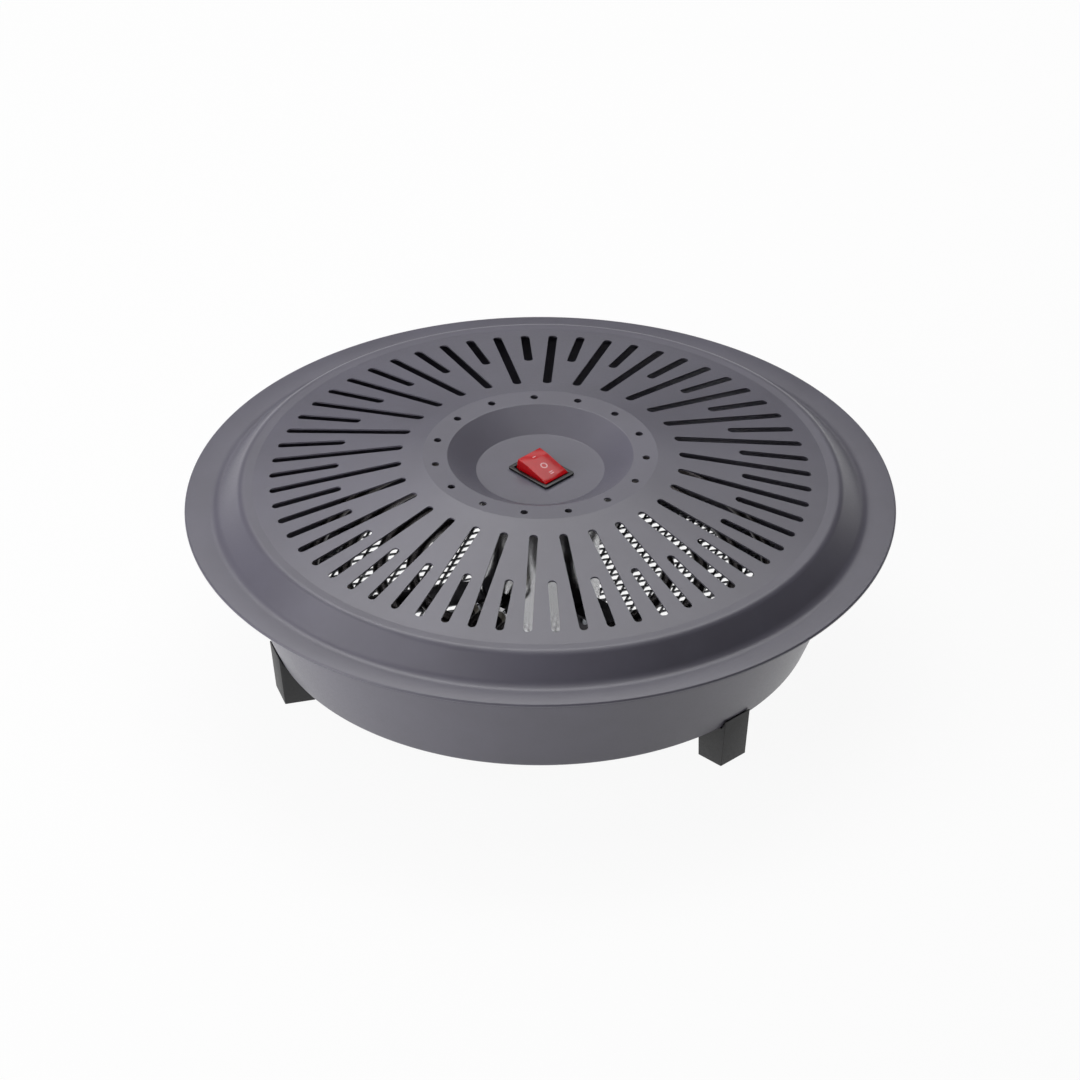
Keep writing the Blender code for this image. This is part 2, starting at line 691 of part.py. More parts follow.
def build_cover_nuts():
    """The nuts on the cover's studs, under the flange of the pan."""
    low = PAN_FLANGE_TOP - PAN_SHEET - GAP - THIN_NUT_HEIGHT
    outline = nut_outline(STUD_RADIUS, THIN_NUT_RADIUS, low, THIN_NUT_HEIGHT)
    mesh = shifted_nut("cover_nut", outline, stud_circle())
    places = {str(count): azimuth for count, azimuth in enumerate(STUD_AZIMUTHS, 1)}
    place_around("cover_nut", mesh, places, "zinc")


def build_can():
    """The central can, with the window that the wires come out of and a rivet hole for each arm."""
    stem_hole = GLAND_STEM_RADIUS + SCREW_CLEARANCE
    outline = [
        (CAN_RADIUS, CAN_FLOOR_LEVEL),
        (CAN_RADIUS, CAN_TOP),
        (CAN_RADIUS - CAN_SHEET, CAN_TOP),
        (CAN_RADIUS - CAN_SHEET, CAN_FLOOR_TOP),
        (stem_hole, CAN_FLOOR_TOP),
        (stem_hole, CAN_FLOOR_LEVEL),
    ]
    can = turned("centre_can", outline, CAN_SEGMENTS, "bare_steel")
    middle = polar(CAN_RADIUS, 0.0)
    window = prism(
        "window_cutter",
        rectangle(OVERRUN, WINDOW_WIDTH, (middle.x, 0.0)),
        WINDOW_BOTTOM_LEVEL,
        WINDOW_TOP_LEVEL,
    )
    window.rotation_euler = (0.0, 0.0, math.radians(WINDOW_AZIMUTH))
    combine(can, window)
    for label, azimuth in FOOT_AZIMUTHS.items():
        hole = rivet_hole(f"can_rivet_hole_{label}")
        hole.rotation_euler = (0.0, 0.0, math.radians(azimuth))
        combine(can, hole)
    place = [polar(EARTH_OFFSET, LEAD_AZIMUTH - 90.0)]
    low, high = CAN_FLOOR_LEVEL - GAP, CAN_FLOOR_TOP + OVERRUN
    combine(can, pegs("earth_hole", place, EARTH_SCREW_RADIUS + SCREW_CLEARANCE, low, high))


def rivet_hole(name):
    """The hole for one arm's rivet, along +X."""
    shape = bmesh.new()
    reach = CAN_RADIUS / 2.0
    turn(shape, cylinder_outline(RIVET_RADIUS + SCREW_CLEARANCE, reach, reach * 3.0), SMALL_SEGMENTS)
    lay_along_x(shape)
    return add_object(name, mesh_from(name, shape))


def lay_along_x(shape):
    """Turns an upright shape to lie along +X at the rivets' level."""
    quarter = Matrix.Rotation(math.pi / 2.0, 3, "Y")
    bmesh.ops.rotate(shape, verts=shape.verts, matrix=quarter)
    bmesh.ops.translate(shape, verts=shape.verts, vec=(0.0, 0.0, ARM_TOP_LEVEL - RIVET_DROP))


def build_rivets():
    """One rivet through the can's wall and each arm's inner leg."""
    tab = CAN_RADIUS + GAP
    inside = CAN_RADIUS - CAN_SHEET - GAP * 2.0
    outside = tab + ARM_SHEET + GAP
    outline = [
        (0.0, inside - RIVET_HEAD_HEIGHT),
        (RIVET_HEAD_RADIUS, inside - RIVET_HEAD_HEIGHT),
        (RIVET_HEAD_RADIUS, inside),
        (RIVET_RADIUS, inside),
        (RIVET_RADIUS, outside),
        (RIVET_HEAD_RADIUS, outside),
        (RIVET_HEAD_RADIUS, outside + RIVET_HEAD_HEIGHT),
        (0.0, outside + RIVET_HEAD_HEIGHT),
    ]
    shape = bmesh.new()
    turn(shape, outline, SMALL_SEGMENTS)
    lay_along_x(shape)
    place_around("arm_rivet", mesh_from("arm_rivet", shape), FOOT_AZIMUTHS, "zinc")


def build_arms():
    """Three bridges from the can to the feet: a leg down the can, a flat top and an outer leg."""
    tab = CAN_RADIUS + GAP + ARM_SHEET
    top = [
        (tab - ARM_SHEET, ARM_TOP_LEVEL - ARM_TAB_LENGTH),
        (tab - ARM_SHEET, ARM_TOP_LEVEL),
        (ARM_DROP_RADIUS + ARM_SHEET, ARM_TOP_LEVEL),
        (ARM_DROP_RADIUS + ARM_SHEET, ARM_SEAT_LEVEL + ARM_SHEET),
        (ARM_END_RADIUS, ARM_SEAT_LEVEL + ARM_SHEET),
    ]
    arm = profile("support_arm", sheet_outline(top, ARM_SHEET), ARM_WIDTH)
    place = [polar(FOOT_SCREW_CIRCLE, 0.0)]
    low, high = ARM_SEAT_LEVEL - OVERRUN, ARM_SEAT_LEVEL + OVERRUN
    combine(arm, pegs("arm_screw_hole", place, SCREW_RADIUS + SCREW_CLEARANCE, low, high))
    combine(arm, rivet_hole("arm_rivet_hole"))
    place_around("support_arm", baked(arm), FOOT_AZIMUTHS, "dark_steel")


def cradle_outline(radii):
    """A notched plate that two rings of rod lie in."""
    notch = ROD_RADIUS + GAP
    low = ARM_TOP_LEVEL + GAP
    first, second = radii
    outline = [(first - notch - CRADLE_END, low), (second + notch + CRADLE_END, low)]
    outline.append((second + notch + CRADLE_END, ROD_LEVEL))
    for radius in (second, first):
        for i in range(CRADLE_STEPS + 1):
            angle = math.pi * i / CRADLE_STEPS
            outline.append((radius + notch * math.cos(angle), ROD_LEVEL - notch * math.sin(angle)))
    outline.append((first - notch - CRADLE_END, ROD_LEVEL))
    return outline


def build_cradles():
    """Two notched plates on each arm, one for each element."""
    for element, radii in ROD_RINGS.items():
        plate = profile("cradle", cradle_outline(radii), CRADLE_THICKNESS)
        place_around(f"rod_cradle_{element}", baked(plate), FOOT_AZIMUTHS, "dark_steel")


def lead_frame(x, y, level):
    """A point given along and across the way the leads run, and its level."""
    return polar(x, LEAD_AZIMUTH, level) + polar(y, LEAD_AZIMUTH + 90.0)


def arc(centre, radius, start, end, steps):
    """Points along an arc in plan, both ends included."""
    turns = [start + (end - start) * i / steps for i in range(steps + 1)]
    return [polar(radius, turned_to) + Vector((*centre, 0.0)) for turned_to in turns]


def ring_points(radius, start, end, phase):
    """Points of a ring between two angles, with one at each arm."""
    low, high = min(start, end), max(start, end)
    first = math.ceil((low - phase) / ROD_STEP + 0.2)
    last = math.floor((high - phase) / ROD_STEP - 0.2)
    inner = [phase + ROD_STEP * k for k in range(first, last + 1)]
    angles = [low, *inner, high]
    if start > end:
        angles.reverse()
    return [polar(radius, angle) for angle in angles]


def bend_into(radius, across):
    """The bend from a lead into its ring: its centre, and the angle at which it meets the ring."""
    side = across - ROD_BEND_RADIUS
    along = math.sqrt((radius - ROD_BEND_RADIUS) ** 2 - side**2)
    return (along, side), math.degrees(math.atan2(side, along))


def rod_path(radii, return_angle, phase):
    """An element in plan, before it is turned into place: lead, ring, return bend, ring, lead."""
    near, far = -LEAD_PITCH * 1.5, -LEAD_PITCH * 0.5
    first_bend, first_angle = bend_into(radii[0], near)
    last_bend, last_angle = bend_into(radii[1], far)
    turn_angle = return_angle - 360.0
    points = [Vector((LEAD_END, near, 0.0))]
    points += arc(first_bend, ROD_BEND_RADIUS, 90.0, first_angle, BEND_STEPS)
    points += ring_points(radii[0], first_angle, turn_angle, phase)[1:]
    middle = polar((radii[0] + radii[1]) / 2.0, turn_angle)
    half = (radii[1] - radii[0]) / 2.0
    points += arc(middle.xy, half, turn_angle - 180.0, turn_angle, RETURN_STEPS)[1:]
    points += ring_points(radii[1], turn_angle, last_angle, phase)[1:]
    points += arc(last_bend, ROD_BEND_RADIUS, last_angle, 90.0, BEND_STEPS)[1:]
    points.append(Vector((LEAD_END, far, 0.0)))
    return points


def build_elements():
    """The two heating elements, with a ceramic seal and a pin at each end. The outer one is mirrored."""
    for element, radii in ROD_RINGS.items():
        mirror = 1.0 if element == "inner" else -1.0
        phase = (FOOT_AZIMUTHS["rear"] - LEAD_AZIMUTH) * mirror % ROD_STEP
        path = rod_path(radii, ROD_RETURN_ANGLES[element], phase)
        points = [lead_frame(point.x, point.y * mirror, ROD_LEVEL) for point in path]
        tube(f"element_{element}", points, ROD_RADIUS, "rod_sheath", 1)
        for label, share in (("live", 1.5), ("neutral", 0.5)):
            across = -LEAD_PITCH * share * mirror
            build_rod_end(f"{element}_{label}", across)


def build_rod_end(label, across):
    """The seal and the pin at one end of an element."""
    face = LEAD_END - GAP
    bore = PIN_RADIUS + SCREW_CLEARANCE
    seal = [
        (bore, face - SEAL_LENGTH),
        (SEAL_RADIUS, face - SEAL_LENGTH),
        (SEAL_RADIUS, face),
        (bore, face),
    ]
    pin = cylinder_outline(PIN_RADIUS, face - PIN_LENGTH, face)
    for name, outline, finish in (("seal", seal, "ceramic"), ("pin", pin, "bare_steel")):
        shape = bmesh.new()
        turn(shape, outline, SMALL_SEGMENTS)
        bmesh.ops.rotate(shape, verts=shape.verts, matrix=Matrix.Rotation(math.pi / 2.0, 3, "Y"))
        made = add_object(f"rod_{name}_{label}", mesh_from(name, shape), finish)
        made.location = lead_frame(0.0, across, ROD_LEVEL)
        made.rotation_euler = (0.0, 0.0, math.radians(LEAD_AZIMUTH))


def build_gland():
    """The base plate under the mesh, the cable gland through it and the nut inside the can."""
    stem_hole = GLAND_STEM_RADIUS + SCREW_CLEARANCE
    plate_top = NET_LEVEL - GAP
    plate_low = plate_top - BASE_PLATE_SHEET
    plate = [
        (BASE_PLATE_RADIUS, plate_low),
        (BASE_PLATE_RADIUS, plate_top),
        (stem_hole, plate_top),
        (stem_hole, plate_low),
    ]
    turned("base_plate", plate, CAN_SEGMENTS, "zinc")
    flange_top = plate_low - GAP
    flange_low = flange_top - GLAND_FLANGE_HEIGHT
    nut_low = CAN_FLOOR_TOP + GAP
    stem_top = nut_low + GLAND_NUT_HEIGHT + GLAND_STICK_OUT
    cap_low = flange_low - GLAND_CAP_HEIGHT
    gland = [
        (GLAND_BORE_RADIUS, cap_low),
        (GLAND_CAP_RADIUS, cap_low),
        (GLAND_CAP_RADIUS, flange_low),
        (GLAND_FLANGE_RADIUS, flange_low),
        (GLAND_FLANGE_RADIUS, flange_top),
        (GLAND_STEM_RADIUS, flange_top),
        (GLAND_STEM_RADIUS, stem_top),
        (GLAND_BORE_RADIUS, stem_top),
    ]
    turned("cable_gland", gland, SMALL_SEGMENTS * 2, "black_plastic")
    outline = nut_outline(GLAND_STEM_RADIUS, GLAND_NUT_RADIUS, nut_low, GLAND_NUT_HEIGHT)
    add_object("gland_nut", shifted_nut("gland_nut", outline, 0.0), "black_plastic")


def build_can_fittings():
    """The terminal block, the thermal cut-out and the earth screw with its tag."""
    seat = CAN_FLOOR_TOP + GAP
    block_turn = (0.0, 0.0, math.radians(LEAD_AZIMUTH))
    body = rectangle(BLOCK_DEPTH, BLOCK_WIDTH, (BLOCK_OFFSET, 0.0))
    block = prism("terminal_block", body, seat, seat + BLOCK_HEIGHT, "ceramic")
    block.rotation_euler = block_turn
    for side in (-1.0, 1.0):
        centre = (BLOCK_OFFSET, BLOCK_POLE_PITCH * side)
        groove = rectangle(BLOCK_DEPTH + OVERRUN, BLOCK_GROOVE_WIDTH, centre)
        high = seat + BLOCK_HEIGHT + OVERRUN
        low = seat + BLOCK_HEIGHT - BLOCK_GROOVE_DEPTH
        cutter = prism(f"block_groove_{'low' if side < 0.0 else 'high'}", groove, low, high)
        cutter.rotation_euler = block_turn
        combine(block, cutter)
    neck = seat + CUTOUT_HEIGHT
    outline = [
        (0.0, seat),
        (CUTOUT_RADIUS, seat),
        (CUTOUT_RADIUS, neck),
        (CUTOUT_NECK_RADIUS, neck),
        (CUTOUT_NECK_RADIUS, neck + CUTOUT_NECK_HEIGHT),
        (0.0, neck + CUTOUT_NECK_HEIGHT),
    ]
    cutout = turned("thermal_cutout", outline, SMALL_SEGMENTS * 2, "bare_steel")
    cutout.location = lead_frame(-CUTOUT_OFFSET, 0.0, 0.0)
    cutout.rotation_euler = block_turn
    places = [Vector((0.0, CUTOUT_TAB_SPREAD * side, 0.0)) for side in (-1.0, 1.0)]
    tabs = pegs("cutout_tabs", places, CUTOUT_TAB_RADIUS, neck, cutout_tab_top())
    tabs.location = cutout.location
    tabs.rotation_euler = block_turn
    combine(cutout, tabs, "UNION")
    build_earth(seat)


def cutout_tab_top():
    """The level of the cut-out's tab ends."""
    return CAN_FLOOR_TOP + GAP + CUTOUT_HEIGHT + CUTOUT_NECK_HEIGHT + CUTOUT_TAB_HEIGHT


def build_earth(seat):
    """The earth tag on the can's floor, and its screw."""
    azimuth = LEAD_AZIMUTH - 90.0
    turned_to = (0.0, 0.0, math.radians(azimuth))
    tag = prism("earth_tag", rectangle(*EARTH_TAG_SIZE), seat, seat + EARTH_TAG_SHEET, "brass")
    tag.location = polar(EARTH_OFFSET, azimuth)
    tag.rotation_euler = turned_to
    bore = EARTH_SCREW_RADIUS + SCREW_CLEARANCE
    hole = pegs("tag_hole", [Vector((0.0, 0.0, 0.0))], bore, 0.0, seat + OVERRUN)
    hole.location = tag.location
    combine(tag, hole)
    head_low = seat + EARTH_TAG_SHEET + GAP
    head_top = head_low + SCREW_HEAD_HEIGHT
    outline = [
        (0.0, CAN_FLOOR_LEVEL - CAN_SEAT + GAP),
        (EARTH_SCREW_RADIUS, CAN_FLOOR_LEVEL - CAN_SEAT + GAP),
        (EARTH_SCREW_RADIUS, head_low),
        (EARTH_SCREW_RADIUS + EARTH_SCREW_STICK_OUT, head_low),
        (EARTH_SCREW_RADIUS + EARTH_SCREW_STICK_OUT, head_top),
        (0.0, head_top),
    ]
    screw = turned("earth_screw", outline, SMALL_SEGMENTS, "zinc")
    screw.location = tag.location


def build_wires():
    """Six wires: from switch and block to the elements, and from the block over the cut-out to the switch."""
    pin_end = LEAD_END - PIN_LENGTH - GAP * 2.0
    window_level = (WINDOW_BOTTOM_LEVEL + WINDOW_TOP_LEVEL) / 2.0
    tab_end = COVER_DISC_LEVEL - switch_depth() - TAB_LENGTH - GAP
    block_top = CAN_FLOOR_TOP + GAP + BLOCK_HEIGHT + GAP
    tab_top = cutout_tab_top() + GAP
    rise = tab_end - window_level
    inside = CAN_RADIUS / 2.0
    shift = CAN_RADIUS * math.sin(math.radians(WINDOW_AZIMUTH - LEAD_AZIMUTH))
    routes = {}
    for element, side, tab_index in (("inner", -1.0, -1.0), ("outer", 1.0, 1.0)):
        tab_x, tab_y = tab_in_lead_frame(tab_index)
        lane = WIRE_PITCH * 1.5 * side + shift
        routes[f"{element}_live"] = [
            (pin_end, LEAD_PITCH * 1.5 * side, ROD_LEVEL),
            (pin_end - WIRE_PITCH, LEAD_PITCH * 1.5 * side, ROD_LEVEL),
            (CAN_RADIUS, lane, window_level),
            (inside, lane, window_level),
            (inside / 2.0, (lane + tab_y) / 2.0, window_level + rise * WIRE_LOW_BEND),
            (tab_x, tab_y, tab_end - rise * WIRE_LOW_BEND),
            (tab_x, tab_y, tab_end),
        ]
        lane = WIRE_PITCH * 0.5 * side + shift
        pole = BLOCK_POLE_PITCH / 2.0 * side + shift
        routes[f"{element}_neutral"] = [
            (pin_end, LEAD_PITCH * 0.5 * side, ROD_LEVEL),
            (pin_end - WIRE_PITCH, LEAD_PITCH * 0.5 * side, ROD_LEVEL),
            (CAN_RADIUS, lane, window_level),
            (CAN_RADIUS * WIRE_BLOCK_BEND, lane, window_level),
            (BLOCK_OFFSET, pole, (window_level + block_top) / 2.0),
            (BLOCK_OFFSET, pole, block_top),
        ]
    feed_pole = BLOCK_POLE_PITCH * FEED_POLE_SHARE
    routes["block_to_cutout"] = [
        (BLOCK_OFFSET, feed_pole, block_top),
        (BLOCK_OFFSET, feed_pole, block_top + WIRE_PITCH),
        (inside / 2.0, CAN_RADIUS / 2.0, window_level),
        (-inside / 2.0, CAN_RADIUS / 2.0, window_level),
        (-CUTOUT_OFFSET, CUTOUT_TAB_SPREAD, tab_top + WIRE_PITCH),
        (-CUTOUT_OFFSET, CUTOUT_TAB_SPREAD, tab_top),
    ]
    tab_x, tab_y = tab_in_lead_frame(0.0)
    routes["cutout_to_switch"] = [
        (-CUTOUT_OFFSET, -CUTOUT_TAB_SPREAD, tab_top),
        (-CUTOUT_OFFSET, -CUTOUT_TAB_SPREAD, tab_top + WIRE_PITCH * 2.0),
        (-inside / 2.0, 0.0, window_level + rise / 2.0),
        (tab_x, tab_y, tab_end - rise * WIRE_FEED_BEND),
        (tab_x, tab_y, tab_end),
    ]
    for label, route in routes.items():
        places = [lead_frame(*place) for place in route]
        tube(f"wire_{label}", smooth_route(places), WIRE_RADIUS, "sleeve", 1)


def switch_depth():
    """How far the switch's body reaches below the panel."""
    return SWITCH_WELL_DEPTH + SWITCH_BASE - BEZEL_HEIGHT


def tab_in_lead_frame(index):
    """Where a switch tab stands, along and across the way the leads run."""
    tab = Vector((*SWITCH_PLACE, 0.0)) + polar(TAB_PITCH * index, SWITCH_AZIMUTH)
    return tab.dot(polar(1.0, LEAD_AZIMUTH)), tab.dot(polar(1.0, LEAD_AZIMUTH + 90.0))


def rounded_rectangle(length, width, corner):
    """A rectangle in x and y with round corners."""
    outline = []
    for quarter, (side_x, side_y) in enumerate(((1, 1), (-1, 1), (-1, -1), (1, -1))):
        centre = Vector(((length / 2.0 - corner) * side_x, (width / 2.0 - corner) * side_y, 0.0))
        for i in range(BEZEL_CORNER_STEPS + 1):
            point = centre + polar(corner, 90.0 * (quarter + i / BEZEL_CORNER_STEPS))
            outline.append(tuple(point.xy))
    return outline


def build_switch_body():
    """The switch's housing: bezel, well, pivot holes and slots for the tabs."""
    outline = rounded_rectangle(BEZEL_LENGTH, BEZEL_WIDTH, BEZEL_CORNER)
    body = in_switch_frame(prism("switch_body", outline, GAP, BEZEL_HEIGHT, "black_plastic"))
    length = SWITCH_WELL_LENGTH + SWITCH_END_WALL * 2.0
    width = SWITCH_WELL_WIDTH + SWITCH_SIDE_WALL * 2.0
    low = -switch_depth()
    box = prism("switch_box", rectangle(length, width), low, BEZEL_HEIGHT / 2.0)
    combine(body, in_switch_frame(box), "UNION")
    well = rectangle(SWITCH_WELL_LENGTH, SWITCH_WELL_WIDTH)
    floor = BEZEL_HEIGHT - SWITCH_WELL_DEPTH
    combine(body, in_switch_frame(prism("switch_well", well, floor, OVERRUN)))
    hole_radius = PIVOT_RADIUS + RUNNING_GAP * 2.0
    combine(body, in_switch_frame(pivot_bar("pivot_hole", hole_radius, width / 2.0 + OVERRUN)))
    for index in (-1, 0, 1):
        centre = (TAB_PITCH * index, 0.0)
        hole = rectangle(TAB_THICKNESS + GAP * 2.0, TAB_WIDTH + GAP * 2.0, centre)
        slot = prism(f"tab_slot_{index + 2}", hole, low - OVERRUN, floor + OVERRUN / 2.0)
        combine(body, in_switch_frame(slot))
        blade = rectangle(TAB_THICKNESS, TAB_WIDTH, centre)
        in_switch_frame(prism(f"switch_tab_{index + 2}", blade, low - TAB_LENGTH, floor + TAB_RISE, "brass"))


def pivot_bar(name, radius, half_length):
    """A round bar across the switch at the rocker's pivot."""
    shape = bmesh.new()
    turn(shape, cylinder_outline(radius, -half_length, half_length), SMALL_SEGMENTS * 2)
    bmesh.ops.rotate(shape, verts=shape.verts, matrix=Matrix.Rotation(math.pi / 2.0, 3, "X"))
    bmesh.ops.translate(shape, verts=shape.verts, vec=(0.0, 0.0, BEZEL_HEIGHT - PIVOT_DEPTH))
    return add_object(name, mesh_from(name, shape))


def build_rocker():
    """The rocker, its plunger and the contact bridge. The rocker's origin is its pivot."""
    pivot = bpy.data.objects.new("rocker_pivot", None)
    bpy.context.scene.collection.objects.link(pivot)
    pivot.location = (*SWITCH_PLACE, COVER_DISC_LEVEL + BEZEL_HEIGHT - PIVOT_DEPTH)
    pivot.rotation_euler = (0.0, math.radians(ROCKER_TILT), math.radians(SWITCH_AZIMUTH))
    half = ROCKER_LENGTH / 2.0
    waist = ROCKER_WAIST_LENGTH / 2.0
    boss = ROCKER_BOSS_LENGTH / 2.0
    first, second = ROCKER_FACET_LENGTHS
    places = (-half, first - half, first + second - half, half)
    outline = list(zip(places, ROCKER_TOP_HEIGHTS))[::-1]
    outline += [
        (-waist, -ROCKER_SKIRT_DEPTH),
        (-boss, -ROCKER_SKIRT_DEPTH),
        (-boss, -ROCKER_BOSS_DEPTH),
        (boss, -ROCKER_BOSS_DEPTH),
        (boss, -ROCKER_SKIRT_DEPTH),
        (waist, -ROCKER_SKIRT_DEPTH),
    ]
    rocker = profile("switch_rocker", outline, ROCKER_WIDTH, "red_plastic")
    rocker.parent = pivot
    pins = pivot_bar("rocker_pins", PIVOT_RADIUS, (SWITCH_WELL_WIDTH + SWITCH_SIDE_WALL) / 2.0)
    pins.data.transform(Matrix.Translation((0.0, 0.0, PIVOT_DEPTH - BEZEL_HEIGHT)))
    pins.parent = pivot
    combine(rocker, pins, "UNION")
    top = PLUNGER_SOCKET - ROCKER_BOSS_DEPTH
    bore = PLUNGER_RADIUS + RUNNING_GAP * 2.0
    centre = [Vector((0.0, 0.0, 0.0))]
    socket = pegs("plunger_socket", centre, bore, -ROCKER_BOSS_DEPTH - OVERRUN, top)
    socket.parent = pivot
    combine(rocker, socket)
    outline = cylinder_outline(PLUNGER_RADIUS, -PLUNGER_DEPTH, top - GAP)
    plunger = turned("switch_plunger", outline, SMALL_SEGMENTS, "brass")
    plunger.parent = pivot
    build_contact()


def build_contact():
    """The contact bridge that the plunger tips, standing on the middle tab."""
    top = BEZEL_HEIGHT - PIVOT_DEPTH - PLUNGER_DEPTH - CONTACT_CLEARANCE
    foot = BEZEL_HEIGHT - SWITCH_WELL_DEPTH + TAB_RISE + GAP
    half, pivot = CONTACT_LENGTH / 2.0, CONTACT_PIVOT_WIDTH / 2.0
    outline = [
        (-half, top),
        (-half, top - CONTACT_SHEET),
        (-pivot, top - CONTACT_SHEET),
        (-pivot, foot),
        (pivot, foot),
        (pivot, top - CONTACT_SHEET),
        (half, top - CONTACT_SHEET),
        (half, top),
    ]
    in_switch_frame(profile("switch_contact", outline, CONTACT_WIDTH, "brass"))


def clear_scene():
    """Takes away what a new file starts with."""
    for found in list(bpy.data.objects):
        bpy.data.objects.remove(found)


def main():
    clear_scene()
    build_cover()
    build_pan()
    build_cover_nuts()
    build_net()
    build_feet()
    build_can()
    build_rivets()
    build_arms()
    build_cradles()
    build_elements()
    build_gland()
    build_can_fittings()
    build_wires()
    build_switch_body()
    build_rocker()


main()
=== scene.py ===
"""Electric brazier: a round low heater of powder coated steel with a slotted cover, on three feet.

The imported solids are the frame. Each sub-assembly below is a class that builds its finer meshes on
that frame and dresses them. Metres, +Z up, the ground at zero under the centre, front towards -Y.
"""

import json
import logging
import math
from dataclasses import dataclass
from enum import Enum
from typing import Any, Iterable, Sequence

import bmesh
import bpy
from mathutils import Matrix, Vector


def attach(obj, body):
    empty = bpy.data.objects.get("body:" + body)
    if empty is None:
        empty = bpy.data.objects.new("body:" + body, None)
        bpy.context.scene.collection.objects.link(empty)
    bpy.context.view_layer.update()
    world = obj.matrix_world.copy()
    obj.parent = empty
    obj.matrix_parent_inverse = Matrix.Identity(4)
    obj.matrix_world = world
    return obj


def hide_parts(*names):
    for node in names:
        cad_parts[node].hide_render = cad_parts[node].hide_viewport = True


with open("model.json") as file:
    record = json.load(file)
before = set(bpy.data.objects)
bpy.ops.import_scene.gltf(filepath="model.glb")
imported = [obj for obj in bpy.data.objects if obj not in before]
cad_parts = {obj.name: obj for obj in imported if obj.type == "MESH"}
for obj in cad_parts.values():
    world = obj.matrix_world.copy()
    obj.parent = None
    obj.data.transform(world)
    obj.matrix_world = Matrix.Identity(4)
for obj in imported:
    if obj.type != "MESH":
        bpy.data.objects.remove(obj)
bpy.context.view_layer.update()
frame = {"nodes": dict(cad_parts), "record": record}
LOG = logging.getLogger("brazier")

Point = tuple[float, float]
Corner = tuple[float, float, float]
Object = bpy.types.Object
Socket = bpy.types.NodeSocket
Tree = bpy.types.NodeTree

# Levels and sizes that several sub-assemblies share, as the solids have them
GAP = 0.0003
RIM_LEVEL = 0.1013
PANEL_LEVEL = 0.1313
PAN_FLOOR_LEVEL = 0.0272
NET_TOP = 0.0297
CAN_RADIUS = 0.0350
ROD_LEVEL = 0.0603
WINDOW_LEVEL = 0.0568
LEAD_AZIMUTH = 240.0
LEAD_PITCH = 0.0092
TAB_PITCH = 0.0080
FOOT_AZIMUTHS = {"rear": 75.5, "left": 195.5, "right": 315.5}
STUD_AZIMUTH = 15.5
STUD_CIRCLE = 0.1991
SCREW_CIRCLE = 0.1500
SCREW_HOLE = 0.0023
SWITCH_PLACE = (0.0006, -0.0022)
SWITCH_AZIMUTH = -45.6

# How fine the meshes are, and how far a helper reaches past what it cuts
HOLD = 0.0004
WELD = 1e-6
BEND_PIECES = 6
EDGE_PIECES = 3
END_POINTS = 7
HOLE_SIDES = 24
RING_SEGMENTS = 240
SHARP_ANGLE = math.radians(32.0)
FULL_TURN = 2.0 * math.pi
PAST = 0.01

# The noises of a finish, as detail and roughness, and the parts of their range that are used
TONE_NOISE = (4.0, 0.6)
TONE_SPAN = (0.35, 0.65)
GRAIN_NOISE = (3.0, 0.55)
GRAIN_SPAN = {"From Min": 0.3, "From Max": 0.7}

# Plain white with its alpha, for the studio
WHITE = (1.0, 1.0, 1.0, 1.0)


class Body(Enum):
    """The two bodies of the frame."""

    HOUSING = "housing"
    ROCKER = "rocker"


class Slot(Enum):
    """The record's material slots."""

    COAT = "powder_coat"
    ARM = "arm_steel"
    NET = "mesh_steel"
    ROD = "rod_sheath"
    CAN = "can_steel"
    ZINC = "zinc_plate"
    CERAMIC = "ceramic"
    FOOT = "foot_plastic"
    BLACK = "black_plastic"
    RED = "red_plastic"
    BRASS = "brass"
    SLEEVE = "wire_sleeve"


class Mark(Enum):
    """The rocker's marks: how far each lies from the raised end, and the offsets of its bars."""

    ONE = (0.0044, (0.0,))
    OFF = (0.0130, ())
    TWO = (0.0196, (-0.0007, 0.0007))


# Nodes and finishes


def linear(colour: str) -> tuple[float, float, float, float]:
    """An sRGB hex colour, such as #65636f, as linear red, green and blue with a full alpha."""
    parts = [int(colour[i : i + 2], 16) / 255.0 for i in (1, 3, 5)]
    turned = [c / 12.92 if c <= 0.04045 else ((c + 0.055) / 1.055) ** 2.4 for c in parts]
    return (*turned, 1.0)


def cells(millimetres: float) -> float:
    """The noise scale whose grains are that many millimetres across, on object coordinates."""
    return 1000.0 / millimetres


def set_inputs(node: bpy.types.Node, inputs: dict) -> None:
    """Gives each input of a node, by its name or place, a value, an output socket or a list of them."""
    for key, given in inputs.items():
        for feed in given if isinstance(given, list) else [given]:
            if isinstance(feed, Socket):
                node.id_data.links.new(feed, node.inputs[key])
            else:
                node.inputs[key].default_value = feed


def add_node(
    tree: Tree, kind: str, inputs: dict | None = None, family: str = "Shader", **settings: Any
) -> bpy.types.Node:
    """Adds a node with its settings and inputs.

    Args:
        tree: The tree that gets the node.
        kind: The node's type, without its family's name.
        inputs: What each of its inputs gets.
        family: Shader or Geometry.
        settings: The node's own properties.

    Returns:
        The new node.
    """
    made = tree.nodes.new(f"{family}Node{kind}")
    for key, setting in settings.items():
        setattr(made, key, setting)
    set_inputs(made, inputs or {})
    return made


def outcome(tree: Tree, kind: str, inputs: dict | None = None, port: Any = 0, **settings: Any) -> Socket:
    """Adds a node and gives one of its outputs, the first unless another is named."""
    return add_node(tree, kind, inputs, **settings).outputs[port]


def radians(**angles: float) -> dict[str, float]:
    """Named angles in degrees, as radians."""
    return {name: math.radians(angle) for name, angle in angles.items()}


def add_math(tree: Tree, operation: str, *terms: Any) -> Socket:
    """The result of one operation on terms that are sockets or numbers."""
    return outcome(tree, "Math", dict(enumerate(terms)), operation=operation)


def largest(tree: Tree, first: Socket, *others: Any) -> Socket:
    """The largest of some sockets and numbers."""
    for other in others:
        first = add_math(tree, "MAXIMUM", first, other)
    return first


